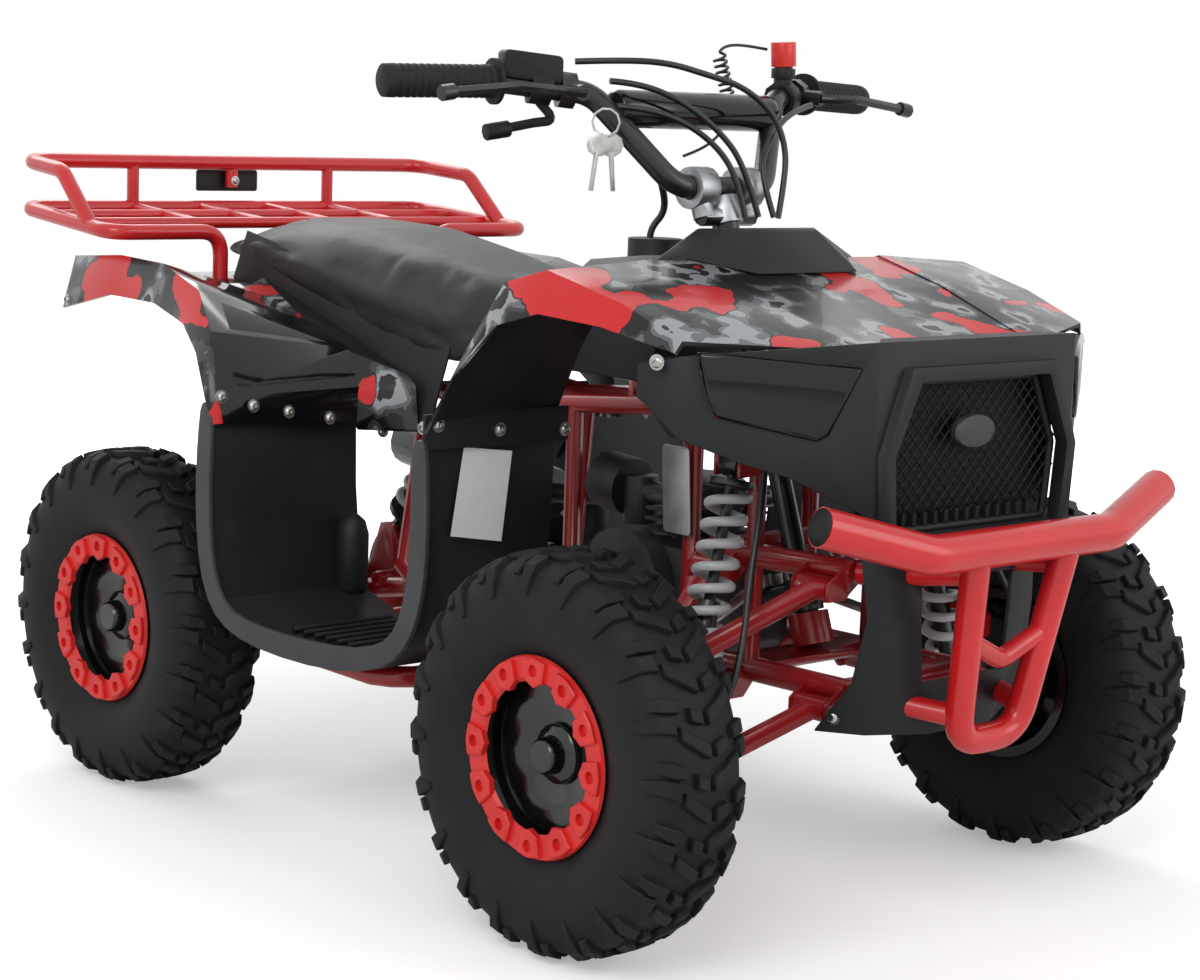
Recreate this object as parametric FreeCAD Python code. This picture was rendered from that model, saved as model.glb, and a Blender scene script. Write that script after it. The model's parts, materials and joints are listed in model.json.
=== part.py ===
import FreeCAD, Part
import math
import os

os.makedirs("parts", exist_ok=True)
V = FreeCAD.Vector

# Small quad bike with a pull-start engine, in millimetres.
# +Z is up with the ground at zero, the front faces -Y and its left side is +X.
# The origin is on the ground, half way along and half way across.

# Wheels and stance
wheelbase = 707.0
front_track = 612.0
rear_track = 606.0
tyre_diameter = 355.6
tyre_width = 104.0
lug_height = 7.0
bead_seat_diameter = 160.0
rim_width = 80.0
bead_ring_diameter = 178.0
bead_ring_bore = 120.0
bead_ring_plate = 3.0
ring_blocks = 12

# Flats round a tyre or rim, and tread lugs to each side of a tyre's middle
wheel_steps = 18
lug_count = 18

# Overall reach ahead of the front axle and behind the rear axle
front_overhang = 252.0
rear_overhang = 293.0

# Steering
kingpin_x = 224.0
kingpin_diameter = 24.0
column_foot_y = -374.0
column_foot_z = 249.0
column_head_y = -228.0
column_head_z = 655.0
column_diameter = 21.0
pitman_z = 287.0
pitman_spread = 13.0
pitman_reach = 35.0
track_arm_eye = V(224.0, -347.0, 198.0)
tie_rod_diameter = 10.0

# Tubes
frame_tube = 22.0
post_width = 16.0
nerf_tube = 20.0
arm_tube = 19.0
rack_tube = 17.0
bumper_tube = 35.0
bumper_loop_tube = 26.0
bar_tube = 22.2
grip_diameter = 31.0

# Each straight step of a bend turns by about this much, in degrees
bend_step = 30.0

# Panels
panel = 3.0
mesh_pitch = 26.0
half_width_guard = 336.0

# Engine
engine_width = 136.0
engine_length = 146.0
engine_height = 110.0
engine_y = -205.0
engine_z = 205.0
fin_count = 5
fin_pitch = 10.0

# Drive line
rear_axle_diameter = 25.0
chain_x = 64.0
sprocket_radius = 62.0
drive_sprocket_radius = 24.0
chain_height = 9.0
chain_width = 8.0
brake_disc_x = -66.0
brake_disc_radius = 78.0

# Fits
running_clearance = 0.06
seat_gap = 0.3

# The design stance that the points below are drawn in
stance_front = -384.5
stance_rear = 322.5
stance_axle_height = 177.8

length = front_overhang + wheelbase + rear_overhang
front_y = front_overhang - length / 2
rear_y = front_y + wheelbase
axle_z = tyre_diameter / 2
lift = axle_z - stance_axle_height
tyre_radius = tyre_diameter / 2
carcass_radius = tyre_radius - lug_height


def F(x, y, z):
    """A point of the stance that stays with the front axle."""
    return V(x, y - stance_front + front_y, z + lift)


def R(x, y, z):
    """A point of the stance that stays with the rear axle."""
    return V(x, y - stance_rear + rear_y, z + lift)


def mirrored(shape):
    return shape.mirror(V(0, 0, 0), V(1, 0, 0))


def both(shape):
    """The right-hand shape together with its left-hand twin."""
    return Part.makeCompound([shape, mirrored(shape)])


def fused(shapes):
    shape = shapes[0]
    for piece in shapes[1:]:
        shape = shape.fuse(piece)
    tidy = shape.copy().removeSplitter()
    return tidy if tidy.isValid() else shape


def ring_points(centre, axis, radius, sides):
    """Corners of a regular polygon about an axis."""
    axis = V(axis).normalize()
    helper = V(0, 0, 1) if abs(axis.z) < 0.9 else V(1, 0, 0)
    across = axis.cross(helper).normalize()
    up = axis.cross(across)
    return [centre + (across * math.cos(2 * math.pi * i / sides) + up * math.sin(2 * math.pi * i / sides)) * radius
            for i in range(sides)]


def sides_for(diameter):
    """How many flats stand for a round bar of this diameter."""
    return 6 if diameter < 13 else 8 if diameter < 20 else 10 if diameter < 40 else 16 if diameter < 120 else 32


def ring_wire(centre, axis, diameter):
    """Outline of a bar whose flats hold the area of the real circle."""
    sides = sides_for(diameter)
    corner = diameter / 2 / math.sqrt(math.cos(math.pi / sides))
    points = ring_points(centre, axis, corner, sides)
    return Part.makePolygon(points + [points[0]])


def rod(start, end, diameter):
    """Straight bar between two points, with flats for its round side."""
    axis = end - start
    return Part.Face(ring_wire(start, axis, diameter)).extrude(axis)


def bent_path(points, radius):
    """The points of a bent run, each corner turned in short straight steps."""
    path = [points[0]]
    for before, corner, after in zip(points, points[1:], points[2:]):
        back = (before - corner).normalize()
        ahead = (after - corner).normalize()
        half_angle = back.getAngle(ahead) / 2
        turn = math.pi - 2 * half_angle
        room = 0.45 * min((before - corner).Length, (after - corner).Length)
        reach = min(radius / math.tan(half_angle), room)
        bend_radius = reach * math.tan(half_angle)
        centre = corner + (back + ahead).normalize() * (reach / math.cos(half_angle))
        first = corner + back * reach
        steps = max(1, round(turn / math.radians(bend_step)))
        turned = turn / steps
        start_arm = (first - centre).normalize()
        side_arm = back * -1
        outset = bend_radius / math.cos(turned / 2)
        for i in range(steps):
            angle = turned * (i + 0.5)
            path.append(centre + (start_arm * math.cos(angle) + side_arm * math.sin(angle)) * outset)
    path.append(points[-1])
    return path


def swept(path, section):
    """Sweep a section along straight runs with mitred corners."""
    return Part.makePolygon(path).makePipeShell([section], True, False, 1)


def tube(points, diameter, radius=40.0):
    """A round bar or tube bent along the points."""
    if len(points) == 2:
        return rod(points[0], points[1], diameter)
    path = bent_path(points, radius)
    return swept(path, ring_wire(path[0], path[1] - path[0], diameter))


def cord(points, diameter):
    """A plain six-sided cord along its route."""
    corners = ring_points(points[0], points[1] - points[0], diameter / 2, 6)
    return swept(points, Part.makePolygon(corners + [corners[0]]))


def plate(points, thickness):
    """A flat polygon given thickness along a vector."""
    wire = Part.makePolygon(points + [points[0]])
    return Part.Face(wire).extrude(thickness)


def rounded_plate(points, thickness, radius):
    """A flat polygon with round corners given thickness along a vector."""
    count = len(points)
    edges = []
    ends = []
    for i, corner in enumerate(points):
        back = (points[i - 1] - corner)
        ahead = (points[(i + 1) % count] - corner)
        reach = min(radius, 0.45 * back.Length, 0.45 * ahead.Length)
        back.normalize()
        ahead.normalize()
        half_angle = back.getAngle(ahead) / 2
        first = corner + back * reach
        last = corner + ahead * reach
        bisector = (back + ahead).normalize()
        distance = reach / math.cos(half_angle) - reach * math.tan(half_angle)
        ends.append((first, corner + bisector * distance, last))
    for i, (first, middle, last) in enumerate(ends):
        edges.append(Part.Arc(first, middle, last).toShape())
        edges.append(Part.LineSegment(last, ends[(i + 1) % count][0]).toShape())
    return Part.Face(Part.Wire(edges)).extrude(thickness)


def sheet(row_a, row_b, thickness):
    """A faceted panel between two rows of points, thickened along a vector."""
    return loft_solid([[a, b, b + thickness, a + thickness] for a, b in zip(row_a, row_b)])


def wheel_solid(profile, centre, steps=wheel_steps):
    """Turn a section about the wheel's axle in flat steps. Section points are (outboard, radius)."""
    rings = []
    for s, r in profile:
        rings.append([V(s, r * math.sin(2 * math.pi * i / steps), r * math.cos(2 * math.pi * i / steps)) + centre
                      for i in range(steps)])
    faces = []
    for first, second in zip(rings, rings[1:] + rings[:1]):
        if (first[0] - first[1]).Length < 1e-6 and (second[0] - second[1]).Length < 1e-6:
            continue
        for i in range(steps):
            j = (i + 1) % steps
            corners = [first[i], first[j], second[j], second[i]]
            corners = [p for k, p in enumerate(corners) if (p - corners[k - 1]).Length > 1e-6]
            faces.append(Part.Face(Part.makePolygon(corners + [corners[0]])))
    solid = Part.Solid(Part.Shell(faces))
    if solid.Volume < 0:
        solid.reverse()
    return solid


def facet(corners):
    return Part.Face(Part.makePolygon(list(corners) + [corners[0]]))


def loft_faces(sections, caps):
    """Flat facets between neighbouring sections, and the two ends in the parts that caps names."""
    faces = [facet([sections[0][k] for k in reversed(cap)]) for cap in caps]
    faces += [facet([sections[-1][k] for k in cap]) for cap in caps]
    count = len(sections[0])
    for first, second in zip(sections, sections[1:]):
        for i in range(count):
            j = (i + 1) % count
            faces += [facet([first[i], first[j], second[j]]), facet([first[i], second[j], second[i]])]
    return faces


def loft_solid(sections, caps=None):
    """Closed solid through sections with the same number of corners, its faces outwards."""
    caps = caps or [range(len(sections[0]))]
    shell = Part.Shell(loft_faces(sections, caps))
    if shell.Volume < 0:
        shell = Part.Shell(loft_faces(sections[::-1], caps))
    return Part.Solid(shell)


def export(name, shape):
    if shape.Volume < 0:
        shape.reverse()
    shape.exportStep("parts/" + name + ".step")
    print(name, len(shape.Solids), "solids", round(shape.Volume / 1000), "cm3", shape.isValid())


# Wheels

def on_wheel(across, radius, angle):
    return V(across, radius * math.sin(angle), radius * math.cos(angle))


def lug(side, start):
    """Slanted tread bar from beside the tyre's middle out to its shoulder, tapered to its tip."""
    half = tyre_width / 2
    ribs = []
    for across, tip, foot, first, wide in ((3, tyre_radius, carcass_radius - 7, start, 0.08),
                                           (half - 7, tyre_radius - 3, carcass_radius - 19, start + 0.07, 0.11)):
        last = first + wide
        ribs.append([on_wheel(side * across, foot, first - 0.015), on_wheel(side * across, tip, first),
                     on_wheel(side * across, tip, last), on_wheel(side * across, foot, last + 0.015)])
    return loft_solid(ribs)


def tyre(centre):
    """Tyre with a smooth carcass and a row of tread bars on each half, set half a pitch apart."""
    half = tyre_width / 2
    bead = bead_seat_diameter / 2 + running_clearance
    rim_half = rim_width / 2 - 5 - running_clearance
    profile = [(-rim_half, bead), (-rim_half - 2, bead + 9), (-half, bead + 48),
               (-half + 5, carcass_radius - 14), (-half + 18, carcass_radius),
               (half - 18, carcass_radius), (half - 5, carcass_radius - 14),
               (half, bead + 48), (rim_half + 2, bead + 9), (rim_half, bead)]
    pitch = 2 * math.pi / lug_count
    lugs = []
    for i in range(lug_count):
        lugs += [lug(1, i * pitch + 0.02), lug(-1, (i + 0.5) * pitch + 0.02)]
    shape = wheel_solid(profile, V(0, 0, 0)).fuse(lugs)
    shape.translate(centre)
    return shape


def rim(centre, side):
    """Deep dished steel rim with its hub; side is +1 where outboard is +X."""
    barrel = bead_seat_diameter / 2
    half = rim_width / 2
    lip = bead_ring_diameter / 2 - 3
    wall = 4.0
    outline = [(-half, lip), (-half, barrel - wall), (half, barrel - wall), (half, lip),
               (half - 3, lip), (half - 5, barrel), (-half + 5, barrel), (-half + 3, lip)]
    hub_radius = 26.0
    disc_out = 14.0
    cap_out = half - 6
    disc = [(disc_out - 4, hub_radius), (disc_out - 4, barrel - wall), (disc_out, barrel - wall),
            (disc_out, hub_radius)]
    bore = rear_axle_diameter / 2 / math.cos(math.pi / wheel_steps)
    hub = [(-22, bore), (-22, hub_radius), (disc_out + 8, hub_radius), (disc_out + 8, 16),
           (cap_out, 14), (cap_out, 0), (disc_out, 0), (disc_out, bore)]
    parts = [wheel_solid([(side * s, r) for s, r in section], V(0, 0, 0))
             for section in (outline, disc, hub)]
    shape = fused(parts)
    shape.translate(centre)
    return shape


def bead_ring(centre, side):
    """Bolted ring of pentagonal blocks, each with a round hole, on the rim's outer lip."""
    outer = bead_ring_diameter / 2
    inner = bead_ring_bore / 2
    seat = rim_width / 2 + seat_gap
    base = [(side * seat, inner + 8), (side * seat, outer), (side * (seat + bead_ring_plate), outer - 2),
            (side * (seat + bead_ring_plate), inner + 8)]
    blocks = []
    step = 2 * math.pi / ring_blocks
    for i in range(ring_blocks):
        shape = [(inner + 2, 0.0), (inner + 9, 0.33), (outer - 4, 0.36), (outer - 4, -0.36), (inner + 9, -0.33)]
        points = [V(side * seat, r * math.sin(i * step + a * step), r * math.cos(i * step + a * step))
                  for r, a in shape]
        blocks.append(plate(points, V(side * (bead_ring_plate + 4), 0, 0)))
    ring = fused([wheel_solid(base, V(0, 0, 0))] + blocks)
    ring.translate(centre)
    return ring


front_hub = V(-front_track / 2, front_y, axle_z)
rear_hub = V(-rear_track / 2, rear_y, axle_z)


def mirror_point(p):
    return V(-p.x, p.y, p.z)


def make_wheels():
    for name, side in (("right", -1), ("left", 1)):
        hub = front_hub if side < 0 else mirror_point(front_hub)
        export("tyre_front_" + name, tyre(hub))
        export("rim_front_" + name, Part.makeCompound([rim(hub, side), bead_ring(hub, side)]))
    hubs = [(-1, rear_hub), (1, mirror_point(rear_hub))]
    export("rear_tyres", Part.makeCompound([tyre(hub) for side, hub in hubs]))
    export("rear_rims", Part.makeCompound(
        [shape(hub, side) for side, hub in hubs for shape in (rim, bead_ring)]))


# Rear axle and chain drive

def make_rear_axle():
    inset = 22.0
    half = rear_track / 2 - inset - seat_gap
    axle = Part.makeCylinder(rear_axle_diameter / 2, 2 * half, V(-half, rear_y, axle_z), V(1, 0, 0))
    shoulders = [rod(V(side * (half - 18), rear_y, axle_z), V(side * (half - 6), rear_y, axle_z), 48)
                 for side in (-1, 1)]
    export("rear_axle", fused([axle] + shoulders))


def sprocket(x, y, z, radius, teeth, bore):
    """Toothed wheel in a fore-and-aft plane."""
    points = []
    for i in range(teeth):
        for part, depth in ((0.0, 4.5), (0.25, 0.0), (0.5, 0.0), (0.75, 4.5)):
            angle = 2 * math.pi * (i + part) / teeth
            points.append(V(x, y + (radius - depth) * math.sin(angle), z + (radius - depth) * math.cos(angle)))
    wheel = plate(points, V(4, 0, 0))
    return wheel.cut(Part.makeCylinder(bore, 8, V(x - 2, y, z), V(1, 0, 0)))


def make_sprocket_and_disc():
    bore = rear_axle_diameter / 2 + seat_gap
    carrier = rod(V(chain_x - 18, rear_y, axle_z), V(chain_x - 4, rear_y, axle_z), 60)
    carrier = carrier.cut(Part.makeCylinder(bore, 20, V(chain_x - 20, rear_y, axle_z), V(1, 0, 0)))
    wheel = fused([sprocket(chain_x - 4, rear_y, axle_z, sprocket_radius, 26, bore), carrier])
    disc = rod(V(brake_disc_x, rear_y, axle_z), V(brake_disc_x + 3.5, rear_y, axle_z), 2 * brake_disc_radius)
    hole_circle = 56.0
    holes = [Part.makeCylinder(9, 10, V(brake_disc_x - 3, rear_y + hole_circle * math.sin(i * math.pi / 2),
                                        axle_z + hole_circle * math.cos(i * math.pi / 2)), V(1, 0, 0))
             for i in range(4)]
    boss = rod(V(brake_disc_x, rear_y, axle_z), V(brake_disc_x + 16, rear_y, axle_z), 60)
    disc = fused([disc, boss]).cut(holes)
    disc = disc.cut(Part.makeCylinder(bore, 40, V(brake_disc_x - 10, rear_y, axle_z), V(1, 0, 0)))
    export("sprocket_and_brake_disc", Part.makeCompound([wheel, disc]))


chain_front_y = -52.0
chain_front_z = 222.0


def chain_loop(offset, x, width):
    """Closed band round both sprockets, standing off them by offset."""
    front = F(0, chain_front_y, chain_front_z)
    rear = V(0, rear_y, axle_z)
    gap = rear - front
    distance = gap.Length
    along = V(0, gap.y / distance, gap.z / distance)
    across = V(0, -along.z, along.y)
    r_front = drive_sprocket_radius + offset
    r_rear = sprocket_radius + offset
    lean = math.asin((r_rear - r_front) / distance)
    wires = []
    top = across * math.cos(lean) - along * math.sin(lean)
    low = across * -math.cos(lean) - along * math.sin(lean)
    points = [front + top * r_front, front - along * r_front, front + low * r_front,
              rear + low * r_rear, rear + along * r_rear, rear + top * r_rear]
    for p in points:
        p.x = x
    wires = [Part.Arc(points[0], points[1], points[2]).toShape(),
             Part.LineSegment(points[2], points[3]).toShape(),
             Part.Arc(points[3], points[4], points[5]).toShape(),
             Part.LineSegment(points[5], points[0]).toShape()]
    return Part.Face(Part.Wire(wires)).extrude(V(width, 0, 0))


def make_chain():
    outer = chain_loop(1.0 + chain_height, chain_x - 2 - chain_width / 2, chain_width)
    inner = chain_loop(1.0, chain_x - 12, chain_width * 4)
    export("chain", outer.cut(inner))


# Frame

def make_frame():
    half = 80.0
    t = frame_tube
    pieces = []
    for side in (-1, 1):
        x = side * half
        pieces += [
            tube([F(x, -500, 223), F(x, -300, 221), F(x, -130, 186), R(x, 60, 183), R(x, 150, 240)], t, 60),
            tube([F(x, -500, 331), F(x, -318, 326)], t),
            tube([F(x, -290, 218), F(x, -290, 470)], post_width),
            tube([F(x, -374, 226), F(x, -374, 448)], post_width),
            tube([F(x, -385, 440), F(x, -250, 452), R(x, 40, 425), R(x, 110, 432),
                  R(x, 300, 478), R(x, 470, 486)], t - 4, 60),
            tube([R(x, 146, 236), R(x, 110, 432)], t - 4),
            tube([F(x, -120, 190), F(x, -120, 440)], post_width),
            tube([R(x, 60, 185), R(x, 40, 425)], post_width),
        ]
        nerf = [F(side * 70, -118, 186), F(side * 292, -108, 186), R(side * 292, 112, 190), R(side * 70, 112, 190)]
        pieces.append(tube(nerf, nerf_tube, 40))
    cross = [(F, -489, 223), (F, -355, 221), (F, -118, 186), (R, 112, 190)]
    pieces += engine_plates() + body_stays()
    for station, y, z in cross:
        pieces.append(rod(station(-half, y, z), station(half, y, z), t - 2))
    for station, y, z in ((F, -474, 331), (F, -318, 326), (F, -385, 440), (R, 94, 430.4), (R, 470, 486)):
        pieces.append(rod(station(-half, y, z), station(half, y, z), t - 4))
    pieces += bearing_socket() + arm_brackets() + shock_mounts()
    export("frame", fused(pieces))


def engine_plates():
    """Two flat rails across the lower tubes that the engine's case stands on."""
    plates = []
    for y in (-262, -162):
        plates.append(plate([F(-90, y, engine_z - seat_gap), F(90, y, engine_z - seat_gap),
                             F(90, y + 18, engine_z - seat_gap), F(-90, y + 18, engine_z - seat_gap)],
                            V(0, 0, -4)))
        for side in (-1, 1):
            plates.append(rod(F(side * 80, y + 9, engine_z - 4), F(side * 80, y + 9, 192), 12))
    return plates


def body_stays():
    """Round stays that carry the tank, the footwells, the fenders and the nose."""
    stays = [rod(F(0, -385, 440), F(0, -385, 452), 14)]
    for side in (-1, 1):
        stays += [
            rod(F(side * 72, -196, 440), F(side * 72, -196, 470 - seat_gap), 12),
            rod(F(side * 200, -112, 190), F(side * 200, -112, 199.4), 14),
            rod(R(side * 200, 106, 192), R(side * 200, 106, 215), 14),
            rod(R(side * 84, 200, 448), R(side * 131, 206, 478), 10),
            rod(R(side * 84, 430, 482), R(side * 84, 430, 521 - seat_gap), 10),
        ]
    return stays


def column_point(z):
    """The steering column's axis at a height of the stance."""
    slope = (column_head_y - column_foot_y) / (column_head_z - column_foot_z)
    return F(0, column_foot_y + slope * (z - column_foot_z), z)


column_axis = (column_point(column_head_z) - column_point(column_foot_z)).normalize()


def bearing_socket():
    """Tube that holds the steering column's foot, on a plate between the lower rails."""
    foot = column_point(column_foot_z)
    shell = rod(foot - column_axis * 14, foot + column_axis * 16, 38)
    bore = Part.makeCylinder(column_diameter / 2 + running_clearance, 40, foot - column_axis * 2, column_axis)
    web = plate([F(-80, -400, 232), F(80, -400, 232), F(80, -352, 232), F(-80, -352, 232)], V(0, 0, -5))
    upper = column_point(425)
    ring = rod(upper - column_axis * 9, upper + column_axis * 9, 36)
    tie = plate([F(-80, -392, 436), F(80, -392, 436), F(34, -300, 436), F(-34, -300, 436)], V(0, 0, 5))
    hole = Part.makeCylinder(column_diameter / 2 + running_clearance, 60, upper - column_axis * 30, column_axis)
    return [fused([shell, web]).cut(bore), fused([ring, tie]).cut(hole)]


upper_pivots = (F(-80, -472, 316), F(-80, -338, 312))
lower_pivots = (F(-80, -476, 208), F(-80, -352, 206))
shock_top = F(-121, -384, 415)
shock_foot = F(-184, -397, 176)
rear_shock_top = R(0, 118, 432)
rear_shock_foot = R(0, 262, 250)
swing_pivot = R(0, 134, 212)


def arm_brackets():
    """Pairs of ears that hold the front arms' pivot bolts and the swingarm's."""
    ears = []
    for pivot, rise in ((upper_pivots, 14), (lower_pivots, 16)):
        for p in pivot:
            for y in (-23, 19):
                for side in (-1, 1):
                    x = abs(p.x)
                    ears.append(plate([V(side * (x - 8), p.y + y, p.z + rise + 6),
                                       V(side * (x + 10), p.y + y, p.z + rise + 4),
                                       V(side * (x + 30), p.y + y, p.z + 6),
                                       V(side * (x + 30), p.y + y, p.z - 10),
                                       V(side * (x + 8), p.y + y, p.z - 10),
                                       V(side * (x - 8), p.y + y, p.z + rise - 8)], V(0, 4, 0)))
    for side in (-1, 1):
        x = side * 69
        ears.append(plate([V(x, swing_pivot.y - 44, swing_pivot.z - 26), V(x, swing_pivot.y + 10, swing_pivot.z - 16),
                           V(x, swing_pivot.y + 26, swing_pivot.z + 22), V(x, swing_pivot.y - 16, swing_pivot.z + 18)],
                          V(side * 6, 0, 0)))
    return ears


def shock_mounts():
    mounts = []
    for side in (-1, 1):
        top = V(side * abs(shock_top.x), shock_top.y, shock_top.z)
        mounts.append(plate([V(side * 80, top.y - 17, top.z - 6), V(side * 80, top.y + 17, top.z - 6),
                             V(side * 80, top.y + 17, top.z + 32), V(side * 80, top.y - 17, top.z + 32)],
                            V(side * 5, 0, 0)))
        for y in (-17, 13):
            mounts.append(plate([V(side * 76, top.y + y, top.z + 32), V(top.x + side * 10, top.y + y, top.z + 12),
                                 V(top.x + side * 10, top.y + y, top.z - 10),
                                 V(side * 76, top.y + y, top.z - 6)], V(0, 4, 0)))
        rear = rear_shock_top + V(side * 11.5, 0, 0)
        mounts.append(plate([rear + V(0, -24, 9), rear + V(0, 6, 9), rear + V(0, 12, 0), rear + V(0, 6, -9),
                             rear + V(0, -24, -11)], V(side * 5, 0, 0)))
    return mounts


# Front suspension

def make_arms():
    upper_end = V(-kingpin_x, front_y, axle_z + 55)
    lower_end = V(-kingpin_x, front_y, axle_z - 50)
    arms = []
    for pivots, end in ((upper_pivots, upper_end), (lower_pivots, lower_end)):
        shift = V(-20, 0, 0)
        front, back = (p + shift for p in pivots)
        legs = [rod(front, end + V(4, -6, 0), arm_tube), rod(back, end + V(4, 6, 0), arm_tube)]
        sleeves = [rod(p - V(0, 18, 0), p + V(0, 18, 0), arm_tube + 3) for p in (front, back)]
        eye = rod(end - V(0, 0, 11), end + V(0, 0, 11), 34)
        arm = fused(legs + sleeves + [eye])
        hole = Part.makeCylinder(kingpin_diameter / 2 + running_clearance, 60, end - V(0, 0, 30), V(0, 0, 1))
        arms.append(arm.cut(hole))
    export("upper_arms", both(arms[0]))
    web = rod(shock_foot - V(0, 26, 20), shock_foot + V(0, 44, -20), 16)
    ears = [plate([shock_foot + V(-12, y, 8), shock_foot + V(12, y, 8), shock_foot + V(12, y, -24),
                   shock_foot + V(-12, y, -24)], V(0, 4, 0)) for y in (-15.5, 11.5)]
    export("lower_arms", both(fused([arms[1], web] + ears)))


def shock(top, foot, body, seat_radius, pin):
    """Damper with eyes, polished rod and spring seats, along its own axis."""
    axis = (foot - top).normalize()
    length = (foot - top).Length
    eyes = [rod(end - pin * 11, end + pin * 11, 22) for end in (top, foot)]
    seat_top = rod(top + axis * 14, top + axis * 20, 2 * seat_radius)
    rod_part = rod(top + axis * 8, top + axis * (length * 0.6), 10)
    cylinder = rod(top + axis * (length * 0.5), foot - axis * 8, body)
    seat_low = rod(foot - axis * 36, foot - axis * 30, 2 * seat_radius)
    return fused(eyes + [seat_top, rod_part, cylinder, seat_low])


def spring(top, foot, radius, wire, turns, start, stop):
    """Coil between the spring seats, of square wire in eight steps a turn."""
    axis = (foot - top).normalize()
    across = axis.cross(V(0, 1, 0)).normalize()
    up = axis.cross(across)
    rise = ((foot - top).Length - start - stop) / (turns * 8)
    path = [top + axis * (start + rise * i)
            + (across * math.cos(i * math.pi / 4) + up * math.sin(i * math.pi / 4)) * radius
            for i in range(turns * 8 + 1)]
    corners = ring_points(path[0], path[1] - path[0], wire / 2, 4)
    return swept(path, Part.makePolygon(corners + [corners[0]]))


def make_shocks():
    front = shock(shock_top, shock_foot, 19, 21, V(0, 1, 0))
    rear = shock(rear_shock_top, rear_shock_foot, 22, 24, V(1, 0, 0))
    export("shock_bodies", Part.makeCompound([front, mirrored(front), rear]))
    wire = 9.0
    front_coil = spring(shock_top, shock_foot, 17, wire, 9, 25, 41)
    rear_coil = spring(rear_shock_top, rear_shock_foot, 20, wire, 8, 25, 41)
    export("shock_springs", Part.makeCompound([front_coil, mirrored(front_coil), rear_coil]))


def make_swingarm():
    """Twin-leg arm with the axle's bearing carrier and the rear shock's foot."""
    pivot = swing_pivot
    axle = V(0, rear_y, axle_z)
    leg_x = 28.0
    carrier_half = 40.0
    pivot_half = 68.7
    pieces = [rod(pivot - V(pivot_half, 0, 0), pivot + V(pivot_half, 0, 0), 26),
              rod(axle - V(carrier_half, 0, 0), axle + V(carrier_half, 0, 0), 60)]
    for side in (-1, 1):
        pieces.append(rod(pivot + V(side * leg_x, 0, 0), axle + V(side * leg_x, 0, 0), frame_tube))
        foot = rear_shock_foot + V(side * 11.5, 0, 0)
        pieces.append(plate([foot + V(0, -12, 10), foot + V(0, 12, 10), foot + V(0, 34, -48), foot + V(0, -34, -42)],
                            V(side * 5, 0, 0)))
        pieces.append(rod(foot + V(0, -14, -48), foot + V(side * 30, -14, -48), 16))
        pieces.append(rod(foot, foot + V(side * 5, 0, 0), 24))
    arm = fused(pieces)
    bore = Part.makeCylinder(rear_axle_diameter / 2 + running_clearance, 130, axle - V(65, 0, 0), V(1, 0, 0))
    export("swingarm", arm.cut(bore))


# Steering

def make_steering_column():
    foot = column_point(column_foot_z)
    head = column_point(column_head_z)
    shaft = Part.makeCylinder(column_diameter / 2, (head - foot).Length - 16, foot, column_axis)
    collar = rod(foot + column_axis * 18, foot + column_axis * 28, 32)
    hub = column_point(pitman_z)
    ears = [hub + V(side * pitman_spread, pitman_reach, -pitman_reach * math.tan(math.asin(column_axis.y)))
            for side in (-1, 1)]
    arm = fused([rod(hub, ear, 16) for ear in ears] + [rod(hub - column_axis * 9, hub + column_axis * 9, 34)])
    bar_seat = rod(head - column_axis * 36, head - column_axis * 10, 30)
    blocks = []
    for side in (-1, 1):
        centre = head + V(side * 30, 0, 0)
        clamp = rod(centre - V(12, 0, 0), centre + V(12, 0, 0), 40)
        post = rod(centre - column_axis * 30, centre, 20)
        blocks += [clamp, post]
    bridge = rod(head + V(-34, 0, 0) - column_axis * 28, head + V(34, 0, 0) - column_axis * 28, 18)
    column = fused([shaft, collar, arm, bar_seat, bridge] + blocks)
    bore = Part.makeCylinder(bar_tube / 2 + seat_gap, 120, head - V(60, 0, 0), V(1, 0, 0))
    holes = [Part.makeCylinder(3.2, 60, ear - column_axis * 30, column_axis) for ear in ears]
    export("steering_column", column.cut([bore] + holes))
    return ears


def bar_path(side):
    """The handlebar's corners from its middle to the grip's end."""
    head = column_point(column_head_z)
    return [head, V(side * 58, head.y, head.z), F(side * 122, -174, 740), F(side * 201, -135, 748),
            F(side * 313, -110, 745)]


def make_handlebar():
    right = bar_path(-1)
    left = bar_path(1)
    corners = list(reversed(right[1:])) + left[1:]
    export("handlebar", tube(corners, bar_tube, 34))
    room = tube(corners, bar_tube + 2 * seat_gap, 34)
    pad_ends = [F(side * 104, -186, 727) for side in (-1, 1)]
    pad = rod(pad_ends[0], pad_ends[1], 36)
    export("bar_pad", pad.cut(room))
    grips = []
    for side in (-1, 1):
        path = bar_path(side)
        inner, outer = path[3], path[4]
        axis = (outer - inner).normalize()
        run = (outer - inner).Length
        grip = rod(inner + axis * 4, inner + axis * (run + 6), grip_diameter)
        flange = rod(inner + axis * 4, inner + axis * 10, grip_diameter + 12)
        bore = Part.makeCylinder(bar_tube / 2 + seat_gap, run + seat_gap, inner, axis)
        grips.append(fused([grip, flange]).cut(bore))
    export("grips", Part.makeCompound(grips))


def make_levers():
    levers = []
    for side, x in ((-1, 144), (1, 178)):
        seat, along, collar, bore = bar_clamp(side, x, 15, 34)
        perch = rod(seat, seat + V(side * 8, -34, -2), 15)
        blade = tube([seat + V(side * 6, -34, -2), F(side * 225, -194, 744), F(side * 304, -187, 736)], 9, 40)
        knob = rod(F(side * 297, -187, 737), F(side * 311, -187, 735), 14)
        levers.append(fused([collar, perch, blade, knob]).cut(bore))
    export("brake_levers", Part.makeCompound(levers))


# Front knuckles and tie rods

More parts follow.
